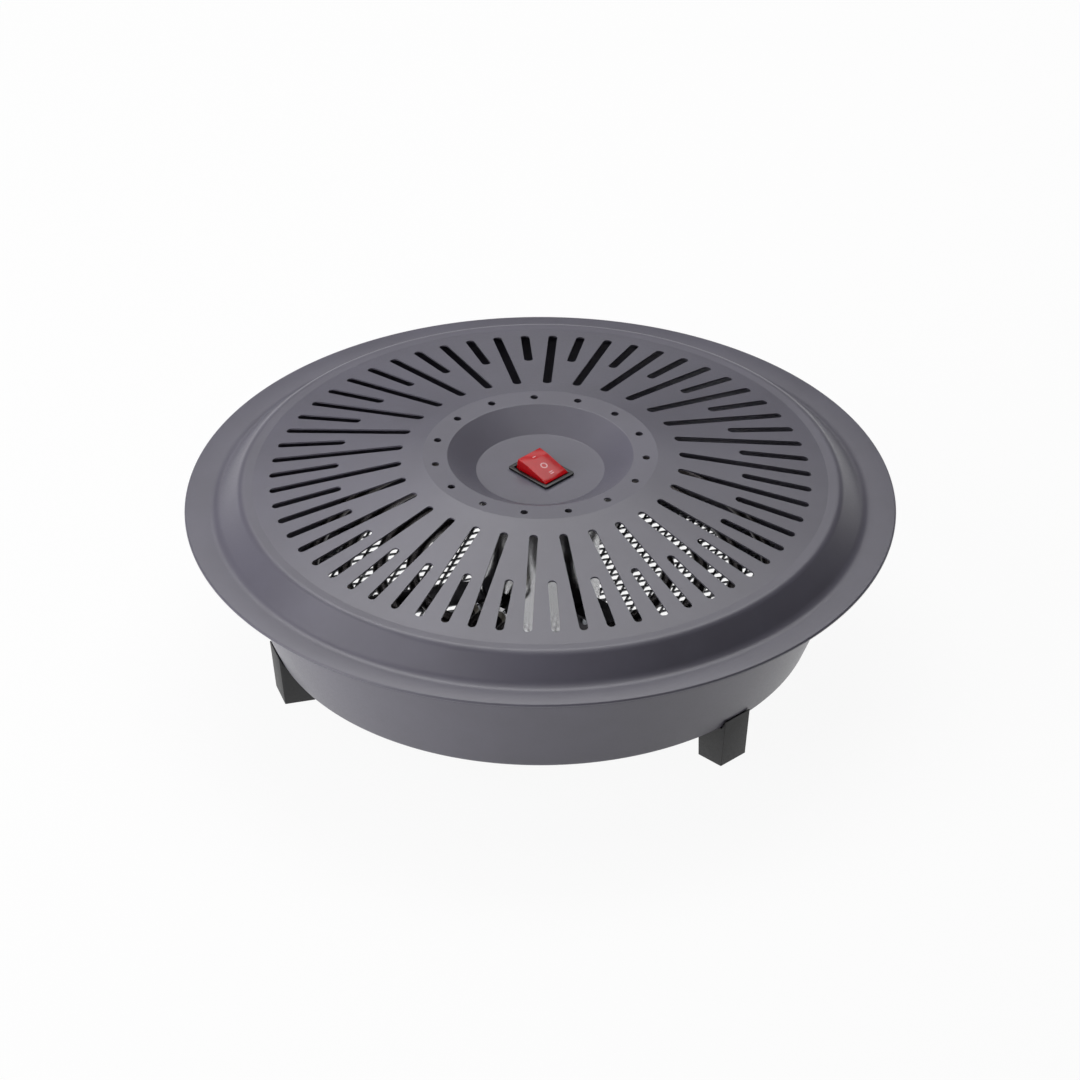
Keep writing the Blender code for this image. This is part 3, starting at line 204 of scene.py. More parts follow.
def add_noise(tree: Tree, place: Socket, size: float, detail: float, roughness: float) -> Socket:
    """Noise whose grains are that many millimetres across."""
    sizes = {"Scale": cells(size), "Detail": detail, "Roughness": roughness}
    return outcome(tree, "TexNoise", {"Vector": place, **sizes})


def add_bump(tree: Tree, height: Socket, strength: float, depth: float, **under: Socket) -> Socket:
    """The normal of a surface that a height lifts, on top of another normal where one is given."""
    sizes = {"Strength": strength, "Distance": depth}
    return outcome(tree, "Bump", {"Height": height, **sizes, **under})


@dataclass(frozen=True)
class Finish:
    """A finish: its name, its two tones, and the values of its shader. Sizes are in millimetres."""

    name: str
    tone: str
    other_tone: str
    roughness: float
    metallic: float
    tone_size: float
    grain_size: float
    grain_depth: float
    grain_strength: float
    rough_spread: float
    stretch: Corner = (1.0, 1.0, 1.0)

    def material(self) -> bpy.types.Material:
        """The finish as a material, made once: two tones in soft clouds, a grain and an uneven gloss."""
        if self.name in bpy.data.materials:
            return bpy.data.materials[self.name]
        made = bpy.data.materials.new(self.name)
        made.use_nodes = True
        made.diffuse_color = linear(self.tone)
        tree = made.node_tree
        place = outcome(tree, "TexCoord", port="Object")
        laid = outcome(tree, "Mapping", {"Vector": place, "Scale": self.stretch})
        ramp = add_node(tree, "ValToRGB", {"Fac": add_noise(tree, laid, self.tone_size, *TONE_NOISE)})
        tones = zip(ramp.color_ramp.elements, TONE_SPAN, (self.other_tone, self.tone))
        for element, position, tone in tones:
            element.position = position
            element.color = linear(tone)
        grain = add_noise(tree, laid, self.grain_size, *GRAIN_NOISE)
        normal = add_bump(tree, grain, self.grain_strength, self.grain_depth)
        low, high = self.roughness - self.rough_spread, self.roughness + self.rough_spread
        spread = {"Value": grain, **GRAIN_SPAN, "To Min": low, "To Max": high}
        surface = {
            "Base Color": ramp.outputs[0],
            "Metallic": self.metallic,
            "Roughness": outcome(tree, "MapRange", spread),
            "Normal": self.relief(tree, laid, normal),
        }
        set_inputs(tree.nodes["Principled BSDF"], surface | self.extras())
        return made

    def relief(self, tree: Tree, place: Socket, normal: Socket) -> Socket:
        """What some finishes lay over the grain.

        Args:
            tree: The material's tree.
            place: Where on the object a point is.
            normal: The surface as the grain leaves it.

        Returns:
            The surface with the relief on it.
        """
        return normal

    def extras(self) -> dict[str, float]:
        """What only some finishes set on their shader."""
        return {}


@dataclass(frozen=True)
class MouldedPlastic(Finish):
    """A moulded plastic, with the even pits that its spark eroded tool leaves."""

    ior: float = 1.5
    pit_size: float = 1.0

    def relief(self, tree: Tree, place: Socket, normal: Socket) -> Socket:
        """Lays the pits over the grain."""
        pits = {"Vector": place, "Scale": cells(self.pit_size)}
        height = outcome(tree, "TexVoronoi", pits, "Distance", feature="SMOOTH_F1")
        return add_bump(tree, height, self.grain_strength, self.grain_depth, Normal=normal)

    def extras(self) -> dict[str, float]:
        """How strongly the plastic bends light."""
        return {"IOR": self.ior}


@dataclass(frozen=True)
class TintedPolycarbonate(MouldedPlastic):
    """A tinted plastic with a moulded gloss and a weak sheen over its colour."""

    sheen: float = 0.3

    def extras(self) -> dict[str, float]:
        """Holds back the gloss as well, so that the tint stays deep."""
        return {**super().extras(), "Specular IOR Level": self.sheen}


@dataclass(frozen=True)
class BraidedSleeve(Finish):
    """A braided glass fibre sleeve: two sets of strands that cross at a slant."""

    strand: float = 1.6
    strand_depth: float = 0.00015
    strand_strength: float = 0.5
    slants: Point = (45.0, -45.0)

    def relief(self, tree: Tree, place: Socket, normal: Socket) -> Socket:
        """Lays the braid over the grain."""
        for slant in self.slants:
            turned = outcome(tree, "Mapping", {"Vector": place, "Rotation": (math.radians(slant),) * 3})
            waves = {"Vector": turned, "Scale": cells(self.strand) / math.pi, "Distortion": 0.0}
            height = outcome(tree, "TexWave", waves, "Fac", bands_direction="Z")
            normal = add_bump(tree, height, self.strand_strength, self.strand_depth, Normal=normal)
        return normal


FINISHES = {
    # Polyester powder coat, satin: flows out to a fine orange peel that softens every highlight.
    # Its real texture is 0.5 mm across and is drawn at 1.4 mm, so that it shows.
    Slot.COAT: Finish("satin_powder_coat", "#65636f", "#605e69", 0.34, 0.0, 55.0, 1.4, 0.00003, 0.25, 0.04),
    # Plain mild steel strip with its dark rolling skin: dull, with faint clouds.
    Slot.ARM: Finish("rolled_steel_strip", "#4a494d", "#38373b", 0.42, 1.0, 12.0, 1.2, 0.00003, 0.3, 0.08),
    # Expanded steel sheet, slit and drawn: bright where the shear has cut it, grey on its faces.
    Slot.NET: Finish("expanded_steel_sheet", "#8f9093", "#5a5a5e", 0.38, 1.0, 4.0, 0.8, 0.00004, 0.4, 0.10),
    # Nickel alloy rod sheath, oxidised by its first heating: dark, a little brown, half glossy.
    Slot.ROD: Finish("oxidised_rod_sheath", "#565355", "#3c3836", 0.30, 1.0, 9.0, 0.7, 0.00002, 0.3, 0.08),
    # Aluminised steel sheet, rolled round: bright and satin, with faint upright lines.
    Slot.CAN: Finish(
        "satin_aluminised_sheet", "#f6f6f8", "#ededf0", 0.19, 1.0, 30.0, 0.6, 0.00001, 0.1, 0.03, (1, 1, 0.04)
    ),
    # Zinc plate on turned screws and pressed nuts: bright, bluish, slightly clouded.
    Slot.ZINC: Finish("bright_zinc_plate", "#b4b8bc", "#9a9fa6", 0.30, 1.0, 3.0, 0.5, 0.00001, 0.3, 0.06),
    # Steatite, fired without a glaze: off white and fine grained.
    Slot.CERAMIC: MouldedPlastic(
        "fired_steatite", "#ddd8cb", "#cfc8b8", 0.45, 0.0, 6.0, 0.6, 0.00003, 0.3, 0.06
    ),
    # Glass filled feet, moulded in an eroded tool: matt, with an even pitted grain.
    Slot.FOOT: MouldedPlastic(
        "moulded_foot_plastic", "#343435", "#2c2c2d", 0.55, 0.0, 15.0, 1.1, 0.00005, 0.35, 0.06
    ),
    # Black nylon of the switch and the cable gland: finer grain and more gloss than the feet.
    Slot.BLACK: MouldedPlastic(
        "moulded_black_nylon", "#131315", "#0d0d0e", 0.36, 0.0, 8.0, 0.8, 0.00002, 0.25, 0.05
    ),
    # Tinted polycarbonate of the rocker: deep red, smooth, with soft weak reflections of the lamps.
    Slot.RED: TintedPolycarbonate(
        "tinted_red_polycarbonate", "#c60512", "#b8040f", 0.17, 0.0, 10.0, 0.9, 0.00001, 0.1, 0.02
    ),
    # Cast brass contact parts: warm, worn dull where they have been handled.
    Slot.BRASS: Finish("stamped_brass", "#c09a52", "#a27f3e", 0.30, 1.0, 3.0, 0.5, 0.00001, 0.3, 0.07),
    # Silicone varnished glass sleeve on the hot wires: matt black braid.
    Slot.SLEEVE: BraidedSleeve(
        "braided_glass_sleeve", "#1d1d1f", "#141415", 0.60, 0.0, 5.0, 0.6, 0.00003, 0.3, 0.05
    ),
}
# Marks moulded into the rocker: pale pink, flush and glossy.
MARK_INK = TintedPolycarbonate(
    "moulded_in_mark", "#f2c4c8", "#edb9be", 0.30, 0.0, 2.0, 0.6, 0.00001, 0.1, 0.04
)


# Mesh code


def polar(radius: float, azimuth: float, level: float = 0.0) -> Vector:
    """The point at that radius, azimuth in degrees, and level."""
    angle = math.radians(azimuth)
    return Vector((radius * math.cos(angle), radius * math.sin(angle), level))


def offset_path(points: Sequence[Point], distance: float) -> list[Point]:
    """The path at a distance on the right of a path, or on its left below zero, with mitred corners."""
    ways = [(Vector(b) - Vector(a)).normalized() for a, b in zip(points, points[1:])]
    sides = [Vector((way.y, -way.x)) for way in ways]
    found = []
    for index, point in enumerate(points):
        before = sides[max(index - 1, 0)]
        after = sides[min(index, len(sides) - 1)]
        mitre = (before + after) / (1.0 + before.dot(after))
        found.append(tuple(Vector(point) + mitre * distance))
    return found


def rounded(corners: Sequence[Corner], pieces: int = BEND_PIECES) -> list[Point]:
    """A path with round bends, and a point close to each end of a bend that keeps its flats flat.

    Args:
        corners: Both coordinates of each corner, and the radius of its bend.
        pieces: How many straight pieces make up a bend.

    Returns:
        The points of the path.
    """
    path = [tuple(corners[0][:2])]
    for before, corner, after in zip(corners, corners[1:], corners[2:]):
        centre, radius = Vector(corner[:2]), corner[2]
        if radius <= 0.0:
            path.append(tuple(centre))
            continue
        first = (Vector(before[:2]) - centre).normalized()
        last = (Vector(after[:2]) - centre).normalized()
        half = first.angle(last) / 2.0
        reach = radius / math.tan(half)
        middle = centre + (first + last).normalized() * radius / math.sin(half)
        path.append(tuple(centre + first * (reach + HOLD)))
        start = centre + first * reach - middle
        sweep = start.angle_signed(centre + last * reach - middle)
        for i in range(pieces + 1):
            path.append(tuple(middle + Matrix.Rotation(-sweep * i / pieces, 2) @ start))
        path.append(tuple(centre + last * (reach + HOLD)))
    path.append(tuple(corners[-1][:2]))
    return path


def sheet(path: Sequence[Point], thickness: float) -> list[Point]:
    """The closed outline of a sheet that lies on the right of a path, or on the left below zero."""
    return list(path) + offset_path(path, thickness)[::-1]


def add_object(name: str, data: bpy.types.ID) -> Object:
    """Puts a mesh, a lamp or a camera in the scene as an object at the origin."""
    made = bpy.data.objects.new(name, data)
    bpy.context.scene.collection.objects.link(made)
    return made


def from_shape(name: str, shape: bmesh.types.BMesh) -> Object:
    """Turns a bmesh into an object whose faces point outwards."""
    bmesh.ops.recalc_face_normals(shape, faces=shape.faces)
    data = bpy.data.meshes.new(name)
    shape.to_mesh(data)
    shape.free()
    return add_object(name, data)


def lathe(name: str, outline: Sequence[Point], segments: int, first: float = 0.0) -> Object:
    """Turns a closed outline round the Z axis.

    Args:
        name: The object's name.
        outline: Radii and levels.
        segments: How many segments the turn has.
        first: The azimuth of its first segment, in degrees.

    Returns:
        The new object.
    """
    shape = bmesh.new()
    rings = []
    for radius, level in outline:
        if radius == 0.0:
            rings.append([shape.verts.new((0.0, 0.0, level))] * segments)
            continue
        azimuths = [first + 360.0 * i / segments for i in range(segments)]
        rings.append([shape.verts.new(polar(radius, azimuth, level)) for azimuth in azimuths])
    for ring, following in zip(rings, rings[1:] + rings[:1]):
        for i in range(segments):
            j = (i + 1) % segments
            corners = list(dict.fromkeys((ring[i], ring[j], following[j], following[i])))
            if len(corners) > 2:
                shape.faces.new(corners)
    return from_shape(name, shape)


def prism(name: str, low: Iterable[Vector], high: Iterable[Vector]) -> Object:
    """The solid between the corners of one end and as many corners of the other."""
    shape = bmesh.new()
    near = [shape.verts.new(corner) for corner in low]
    far = [shape.verts.new(corner) for corner in high]
    shape.faces.new(near[::-1])
    shape.faces.new(far)
    for i in range(len(near)):
        j = (i + 1) % len(near)
        shape.faces.new((near[i], near[j], far[j], far[i]))
    return from_shape(name, shape)


def upright(name: str, outline: Sequence[Point], low: float, high: float) -> Object:
    """An outline in x and y, drawn up from one level to another."""
    return prism(name, (Vector((*p, low)) for p in outline), (Vector((*p, high)) for p in outline))


def across(name: str, outline: Sequence[Point], width: float) -> Object:
    """An outline in x and z, drawn out to both sides of the XZ plane."""
    half = width / 2.0
    near = (Vector((x, -half, z)) for x, z in outline)
    return prism(name, near, (Vector((x, half, z)) for x, z in outline))


def rectangle(length: float, width: float, corner: float = 0.0, pieces: int = BEND_PIECES) -> list[Point]:
    """A rectangle round the origin, with round corners where a radius is given."""
    outline = []
    for quarter, (side_x, side_y) in enumerate(((1, 1), (-1, 1), (-1, -1), (1, -1))):
        centre = Vector(((length / 2.0 - corner) * side_x, (width / 2.0 - corner) * side_y))
        if corner <= 0.0:
            outline.append(tuple(centre))
            continue
        for i in range(pieces + 1):
            outline.append(tuple(centre + polar(corner, 90.0 * (quarter + i / pieces)).xy))
    return outline


def circle(radius: float, segments: int = HOLE_SIDES) -> list[Point]:
    """A circle round the origin."""
    return [tuple(polar(radius, 360.0 * i / segments).xy) for i in range(segments)]


def around(angle: float, axis: str = "Z") -> Matrix:
    """The turn about an axis by an angle in degrees."""
    return Matrix.Rotation(math.radians(angle), 4, axis)


def along(x: float, z: float = 0.0) -> Matrix:
    """The shift along the X axis and up."""
    return Matrix.Translation((x, 0.0, z))


def moved(made: Object, matrix: Matrix) -> Object:
    """Moves an object's mesh, and leaves the object at the origin."""
    made.data.transform(matrix)
    return made


def cross_bar(name: str, radius: float, reach: float) -> Object:
    """A round bar along the Y axis that reaches equally far to both sides."""
    outline = [(0.0, -reach), (radius, -reach), (radius, reach), (0.0, reach)]
    return moved(lathe(name, outline, HOLE_SIDES), around(90.0, "X"))


def carve(made: Object, tool: Object, operation: str = "DIFFERENCE") -> None:
    """Cuts or joins an object by a helper, which is then taken away."""
    step = made.modifiers.new("carve", "BOOLEAN")
    step.object = tool
    step.operation = operation
    settle(made)
    bpy.data.objects.remove(tool)


def bore(
    made: Object, radius: float, low: float, high: float, x: float = 0.0, sides: int = HOLE_SIDES
) -> None:
    """Bores an upright round hole, from one level to another and at a place along the X axis."""
    carve(made, moved(upright("bore", circle(radius, sides), low, high), along(x)))


def soften(made: Object, width: float, pieces: int = 2) -> None:
    """Rounds every sharp edge of an object."""
    step = made.modifiers.new("soften", "BEVEL")
    step.width = width
    step.segments = pieces
    step.limit_method = "ANGLE"
    step.angle_limit = SHARP_ANGLE
    step.harden_normals = False
    settle(made)


def settle(made: Object) -> Object:
    """Makes the object a plain mesh, as its modifiers leave it."""
    bpy.context.view_layer.update()
    graph = bpy.context.evaluated_depsgraph_get()
    data = bpy.data.meshes.new_from_object(made.evaluated_get(graph))
    made.modifiers.clear()
    old, made.data = made.data, data
    bpy.data.meshes.remove(old)
    data.name = made.name
    return made


def hand_over(made: Object, slot: Slot, nodes: Sequence[str], body: Body = Body.HOUSING) -> None:
    """Shades a finished piece, dresses it and sets it on its body.

    Args:
        made: The piece, a plain mesh in place.
        slot: The record's slot, whose finish it gets unless it has one.
        nodes: The solids that it stands for.
        body: The body that it rides on.
    """
    made.data.shade_smooth()
    made.data.set_sharp_from_angle(angle=SHARP_ANGLE)
    if not made.data.materials:
        made.data.materials.append(FINISHES[slot].material())
    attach(made, body.value)
    if nodes:
        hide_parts(*nodes)
    LOG.info("%s: %d faces for %s", made.name, len(made.data.polygons), ", ".join(nodes) or "itself")


def hand_over_round(made: Object, slot: Slot, node: str) -> None:
    """Hands over a copy of a piece at the azimuth of each foot, and takes the piece away."""
    for label, azimuth in FOOT_AZIMUTHS.items():
        copy = add_object(f"{made.name}_{label}", made.data.copy())
        hand_over(moved(copy, around(azimuth)), slot, [f"{node}_{label}"])
    bpy.data.objects.remove(made)


def line_of(name: str, points: Sequence[Vector]) -> Object:
    """A line of points as an object with edges alone."""
    data = bpy.data.meshes.new(name)
    data.from_pydata([tuple(point) for point in points], [(i, i + 1) for i in range(len(points) - 1)], [])
    return add_object(name, data)


# Geometry Nodes


class Recipe:
    """A Geometry Nodes tree with named inputs, which ends in Realize Instances and Set Material."""

    def __init__(self, name: str, is_part: bool = False, **inputs: str) -> None:
        """Starts the tree.

        Args:
            name: The tree's name.
            is_part: Whether other trees use it, so that it gets no geometry and sets no material.
            inputs: The names of its inputs of each kind of socket, with commas between them.
        """
        self.tree = bpy.data.node_groups.new(name, "GeometryNodeTree")
        self.is_part = is_part
        kinds = {label: kind for kind, labels in inputs.items() for label in labels.split(", ")}
        if not is_part:
            kinds = {"Geometry": "Geometry", **kinds, "Material": "Material"}
        for label, kind in kinds.items():
            self.tree.interface.new_socket(label, in_out="INPUT", socket_type=f"NodeSocket{kind}")
        self.tree.interface.new_socket("Geometry", in_out="OUTPUT", socket_type="NodeSocketGeometry")
        self.start = self.tree.nodes.new("NodeGroupInput")

    def __getitem__(self, label: str) -> Socket:
        """The socket of a named input."""
        return self.start.outputs[label]

    def node(self, kind: str, inputs: dict | None = None, **settings: Any) -> Socket:
        """Adds a geometry node and gives its first output."""
        return outcome(self.tree, kind, inputs, family="Geometry", **settings)

    def math(self, operation: str, *terms: Any) -> Socket:
        """The result of one operation on terms that are sockets or numbers."""
        return add_math(self.tree, operation, *terms)

    def xyz(self, **parts: Any) -> Socket:
        """A vector of sockets and numbers, zero along each axis that isn't given."""
        return outcome(self.tree, "CombineXYZ", parts)

    def shifted(self, geometry: Socket, **parts: Any) -> Socket:
        """Geometry that is moved along the axes."""
        return self.node("Transform", {"Geometry": geometry, "Translation": self.xyz(**parts)})

    def ring(self, shape: Socket, count: Socket, first: Socket) -> Socket:
        """Copies of a shape, turned evenly round the Z axis from a first angle."""
        step = self.math("DIVIDE", FULL_TURN, count)
        angle = self.math("MULTIPLY_ADD", self.node("InputIndex"), step, first)
        points = self.node("Points", {"Count": count})
        links = {"Points": points, "Instance": shape, "Rotation": self.xyz(Z=angle)}
        return self.node("RealizeInstances", {"Geometry": self.node("InstanceOnPoints", links)})

    def part(self, other: "Recipe", **inputs: Any) -> Socket:
        """Uses another tree as a part of this one and gives its geometry."""
        return self.node("Group", inputs, node_tree=other.tree)

    def cut(self, *tools: Socket) -> "Recipe":
        """Closes the tree with what the tools leave of the geometry that comes in."""
        meshes = {"Mesh 1": self["Geometry"], "Mesh 2": list(tools)}
        return self.end(self.node("MeshBoolean", meshes, operation="DIFFERENCE", solver="MANIFOLD"))

    def join(self, tool: Socket) -> "Recipe":
        """Closes the tree with the geometry that comes in and a tool, joined."""
        meshes = {"Mesh 2": [self["Geometry"], tool]}
        return self.end(self.node("MeshBoolean", meshes, operation="UNION", solver="MANIFOLD"))

    def end(self, geometry: Socket) -> "Recipe":
        """Closes the tree with what comes out of it."""
        real = self.node("RealizeInstances", {"Geometry": geometry})
        if not self.is_part:
            real = self.node("SetMaterial", {"Geometry": real, "Material": self["Material"]})
        finish = self.tree.nodes.new("NodeGroupOutput")
        self.tree.links.new(real, finish.inputs[0])
        return self

    def run(self, made: Object, slot: Slot, **sizes: Any) -> Object:
        """Runs the tree on an object and leaves the result as its plain mesh.

        Args:
            made: The object.
            slot: The slot whose finish the result gets.
            sizes: What the named inputs are set to, in small letters and with _ for a space. A
                size that the tree has no input for is left out.

        Returns:
            The object.
        """
        step = made.modifiers.new(self.tree.name, "NODES")
        step.node_group = self.tree
        wanted = {"material": FINISHES[slot].material(), **sizes}
        for item in self.tree.interface.items_tree:
            label = item.name.lower().replace(" ", "_")
            if item.in_out == "INPUT" and label in wanted:
                step[item.identifier] = wanted[label]
        return settle(made)


def ring_of_cutters() -> Recipe:
    """Upright cutters with round ends, set radially round the axis."""
    recipe = Recipe("Ring of cutters", True, Float="Inner, Outer, Width, First, Low, Height", Int="Count")
    inner, outer, width = recipe["Inner"], recipe["Outer"], recipe["Width"]
    size = {"Width": recipe.math("SUBTRACT", outer, inner), "Height": width}
    box = recipe.node("CurvePrimitiveQuadrilateral", size, mode="RECTANGLE")
    # A radius just under half the width, at which a box has round ends and no corner is met twice
    bend = {"Radius": recipe.math("MULTIPLY", width, 0.499), "Count": END_POINTS, "Limit Radius": True}
    ends = recipe.node("FilletCurve", {"Curve": box, **bend}, mode="POLY")
    floor = recipe.node("FillCurve", {"Curve": ends}, mode="NGONS")
    drawn = {"Mesh": floor, "Offset Scale": recipe["Height"], "Individual": False}
    walls = recipe.node("ExtrudeMesh", drawn, mode="FACES")
    under = recipe.node("FlipFaces", {"Mesh": floor})
    both = recipe.node("JoinGeometry", {"Geometry": [walls, under]})
    merged = recipe.node("MergeByDistance", {"Geometry": both, "Distance": WELD})
    centre = recipe.math("MULTIPLY", recipe.math("ADD", outer, inner), 0.5)
    solid = recipe.shifted(merged, X=centre, Z=recipe["Low"])
    return recipe.end(recipe.ring(solid, recipe["Count"], recipe["First"]))


def punched_sheet(ring: Recipe) -> Recipe:
    """Punches long slots, short slots and round vents through a turned sheet."""
    slots = "Long inner, Short inner, Slot outer, Slot width, First long, First short"
    vents = "Vent circle, Vent radius, First vent"
    recipe = Recipe("Punched sheet", Float=f"{slots}, {vents}, Low, Height", Int="Slot pairs, Vents")
    tall = {"Low": recipe["Low"], "Height": recipe["Height"]}
    shared = {"Count": recipe["Slot pairs"], "Outer": recipe["Slot outer"], "Width": recipe["Slot width"]}
    middle, radius = recipe["Vent circle"], recipe["Vent radius"]
    size = {
        "Inner": recipe.math("SUBTRACT", middle, radius),
        "Outer": recipe.math("ADD", middle, radius),
        "Width": recipe.math("MULTIPLY", radius, 2.0),
    }
    return recipe.cut(
        recipe.part(ring, Inner=recipe["Long inner"], First=recipe["First long"], **shared, **tall),
        recipe.part(ring, Inner=recipe["Short inner"], First=recipe["First short"], **shared, **tall),
        recipe.part(ring, First=recipe["First vent"], Count=recipe["Vents"], **size, **tall),
    )


def pegged_sheet(name: str, welded: bool) -> Recipe:
    """Welds a ring of round pegs to a turned sheet as studs, or drills the sheet by them."""
    recipe = Recipe(name, Float="First, Circle, Radius, Length, Level", Int="Pegs")
    sizes = {"Radius": recipe["Radius"], "Depth": recipe["Length"], "Vertices": HOLE_SIDES}
    peg = recipe.shifted(recipe.node("MeshCylinder", sizes), X=recipe["Circle"], Z=recipe["Level"])
    pegs = recipe.ring(peg, recipe["Pegs"], recipe["First"])
    return recipe.join(pegs) if welded else recipe.cut(pegs)


def ribbed_cap() -> Recipe:
    """Stands grip ribs round a turned cap."""
    recipe = Recipe("Ribbed cap", Float="First, Circle, Level", Int="Ribs", Vector="Size")
    rib = recipe.node("MeshCube", {"Size": recipe["Size"]})
    rib = recipe.shifted(rib, X=recipe["Circle"], Z=recipe["Level"])
    return recipe.join(recipe.ring(rib, recipe["Ribs"], recipe["First"]))


def strands_one_way() -> Recipe:
    """Parallel strands that fill a circle, each rising and falling once for every strand it meets."""
    recipe = Recipe("Strands one way", True, Float="Radius, Pitch, Width, Height, Wave, Turn, Skew")
    radius, pitch, skew, calc = recipe["Radius"], recipe["Pitch"], recipe["Skew"], recipe.math
    count = calc("FLOOR", calc("DIVIDE", calc("MULTIPLY", radius, 2.0), pitch))
    middle = calc("MULTIPLY", calc("SUBTRACT", count, 1.0), 0.5)
    y = calc("MULTIPLY", calc("SUBTRACT", recipe.node("InputIndex"), middle), pitch)
    square = calc("SUBTRACT", calc("MULTIPLY", radius, radius), calc("MULTIPLY", y, y))
    points = recipe.node("Points", {"Count": count, "Position": recipe.xyz(Y=y)})
    line = recipe.node("CurvePrimitiveLine", {"Start": (-1.0, 0.0, 0.0), "End": (1.0, 0.0, 0.0)})
    scale = recipe.xyz(X=calc("SQRT", square), Y=1.0, Z=1.0)
    copies = recipe.node("InstanceOnPoints", {"Points": points, "Instance": line, "Scale": scale})
    lines = recipe.node("RealizeInstances", {"Geometry": copies})
    quarter = {"Curve": lines, "Length": calc("MULTIPLY", pitch, 0.25)}
    fine = recipe.node("ResampleCurve", quarter, mode="LENGTH")
    place = add_node(recipe.tree, "SeparateXYZ", {0: recipe.node("InputPosition")}).outputs
    forward = calc("MULTIPLY", place[0], calc("SINE", skew))
    aside = calc("MULTIPLY", place[1], calc("COSINE", skew))
    met = calc("DIVIDE", calc("SUBTRACT", aside, forward), pitch)
    swing = calc("COSINE", calc("MULTIPLY", met, FULL_TURN))
    rise = recipe.xyz(Z=calc("MULTIPLY", swing, recipe["Wave"]))
    waved = recipe.node("SetPosition", {"Geometry": fine, "Offset": rise})
    standing = recipe.node("SetCurveNormal", {"Curve": waved}, mode="Z_UP")
    size = {"Width": recipe["Width"], "Height": recipe["Height"]}
    section = recipe.node("CurvePrimitiveQuadrilateral", size, mode="RECTANGLE")
    strands = recipe.node("CurveToMesh", {"Curve": standing, "Profile Curve": section, "Fill Caps": True})
    turned = {"Geometry": strands, "Rotation": recipe.xyz(Z=recipe["Turn"])}
    return recipe.end(recipe.node("Transform", turned))


def drawn_mesh(one_way: Recipe) -> Recipe:
    """Crosses two sets of strands into the diamonds of an expanded sheet."""
    labels = ("Radius", "Pitch", "Width", "Height", "Wave")
    recipe = Recipe("Drawn mesh", Float=", ".join((*labels, "First turn, Second turn, Skew, Level")))
    shared = {label: recipe[label] for label in labels}
    skew = recipe["Skew"]
    back = recipe.math("MULTIPLY", skew, -1.0)
    first = recipe.part(one_way, Turn=recipe["First turn"], Skew=skew, **shared)
    second = recipe.part(one_way, Turn=recipe["Second turn"], Skew=back, **shared)
    both = recipe.node("JoinGeometry", {"Geometry": [first, second]})
    return recipe.end(recipe.shifted(both, Z=recipe["Level"]))


def round_section() -> Recipe:
    """Gives a line of points a round section."""
    recipe = Recipe("Round section", Float="Radius", Int="Sides")
    line = recipe.node("MeshToCurve", {"Mesh": recipe["Geometry"]})
    size = {"Radius": recipe["Radius"], "Resolution": recipe["Sides"]}
    section = recipe.node("CurvePrimitiveCircle", size)
    drawn = {"Curve": line, "Profile Curve": section, "Fill Caps": True}
    return recipe.end(recipe.node("CurveToMesh", drawn))


# Sub-assemblies


STUD_RING = {"pegs": 3, "circle": STUD_CIRCLE, **radians(first=STUD_AZIMUTH)}
SCREW_RING = {"pegs": 3, "circle": SCREW_CIRCLE, **radians(first=FOOT_AZIMUTHS["rear"])}


@dataclass
class GrilleCover:
    """The slotted cover: flat flange with a folded hem, stepped wall, cone, crown and recess.

    Each corner has its radius, its height over the rim and its bend.
    """

    sheet: float = 0.0010
    rim_radius: float = 0.2100
    hem_height: float = 0.0021
    hem_width: float = 0.0040
    corners: tuple[Corner, ...] = (
        (0.1917, 0.0021, 0.0085),
        (0.1774, 0.0182, 0.0065),
        (0.1700, 0.0185, 0.0015),
        (0.0693, 0.04045, 0.0020),
        (0.0550, 0.04045, 0.0009),
        (0.0378, 0.0300, 0.0012),
        (0.0, 0.0300, 0.0),
    )
    slot_pairs: int = 30
    slot_width: float = 0.0052
    first_slot: float = 3.3
    long_inner: float = 0.0820
    short_inner: float = 0.1189
    slot_outer: float = 0.1602
    vents: int = 15
    vent_azimuth: float = 93.3
    vent_circle: float = 0.0626
    vent_radius: float = 0.00225
    panel_size: Point = (0.0294, 0.0216)
    stud_radius: float = 0.0020
    stud_length: float = 0.0078
    height: float = 0.06

    def outline(self) -> list[Point]:
        """The closed section of the sheet."""
        half = self.hem_height / 2.0
        middle = self.rim_radius - half
        turn = [math.pi * i / BEND_PIECES for i in range(BEND_PIECES + 1)]
        edge = [(middle + half * math.sin(angle), half - half * math.cos(angle)) for angle in turn]
        top = rounded([(middle, self.hem_height, 0.0), *self.corners])
        inner = self.rim_radius - self.hem_width
        under = [point for point in offset_path(top, -self.sheet)[::-1] if point[0] < inner]
        path = [(inner, 0.0), *edge, *top[1:], *under, (inner, self.hem_height - self.sheet)]
        return [(0.0 if abs(radius) < WELD else radius, RIM_LEVEL + height) for radius, height in path]

    def build(self, punched: Recipe, studded: Recipe) -> None:
        """Turns the sheet, sets its studs and punches it."""
        first, second = self.first_slot, self.first_slot + 180.0 / self.slot_pairs
        made = lathe("cover_sheet", self.outline(), RING_SEGMENTS, first + 180.0 / RING_SEGMENTS)
        level = RIM_LEVEL + self.hem_height - self.sheet / 2.0 - self.stud_length / 2.0
        stud = {"radius": self.stud_radius, "length": self.stud_length, "level": level, **STUD_RING}
        studded.run(made, Slot.COAT, **stud)
        angles = radians(first_long=first, first_short=second, first_vent=self.vent_azimuth)
        punched.run(made, Slot.COAT, low=RIM_LEVEL, **angles, **vars(self))
        opening = upright("panel_opening", rectangle(*self.panel_size), -PAST / 2.0, PAST / 2.0)
        carve(made, moved(opening, switch_matrix()))
        hand_over(made, Slot.COAT, ["grille_cover"])


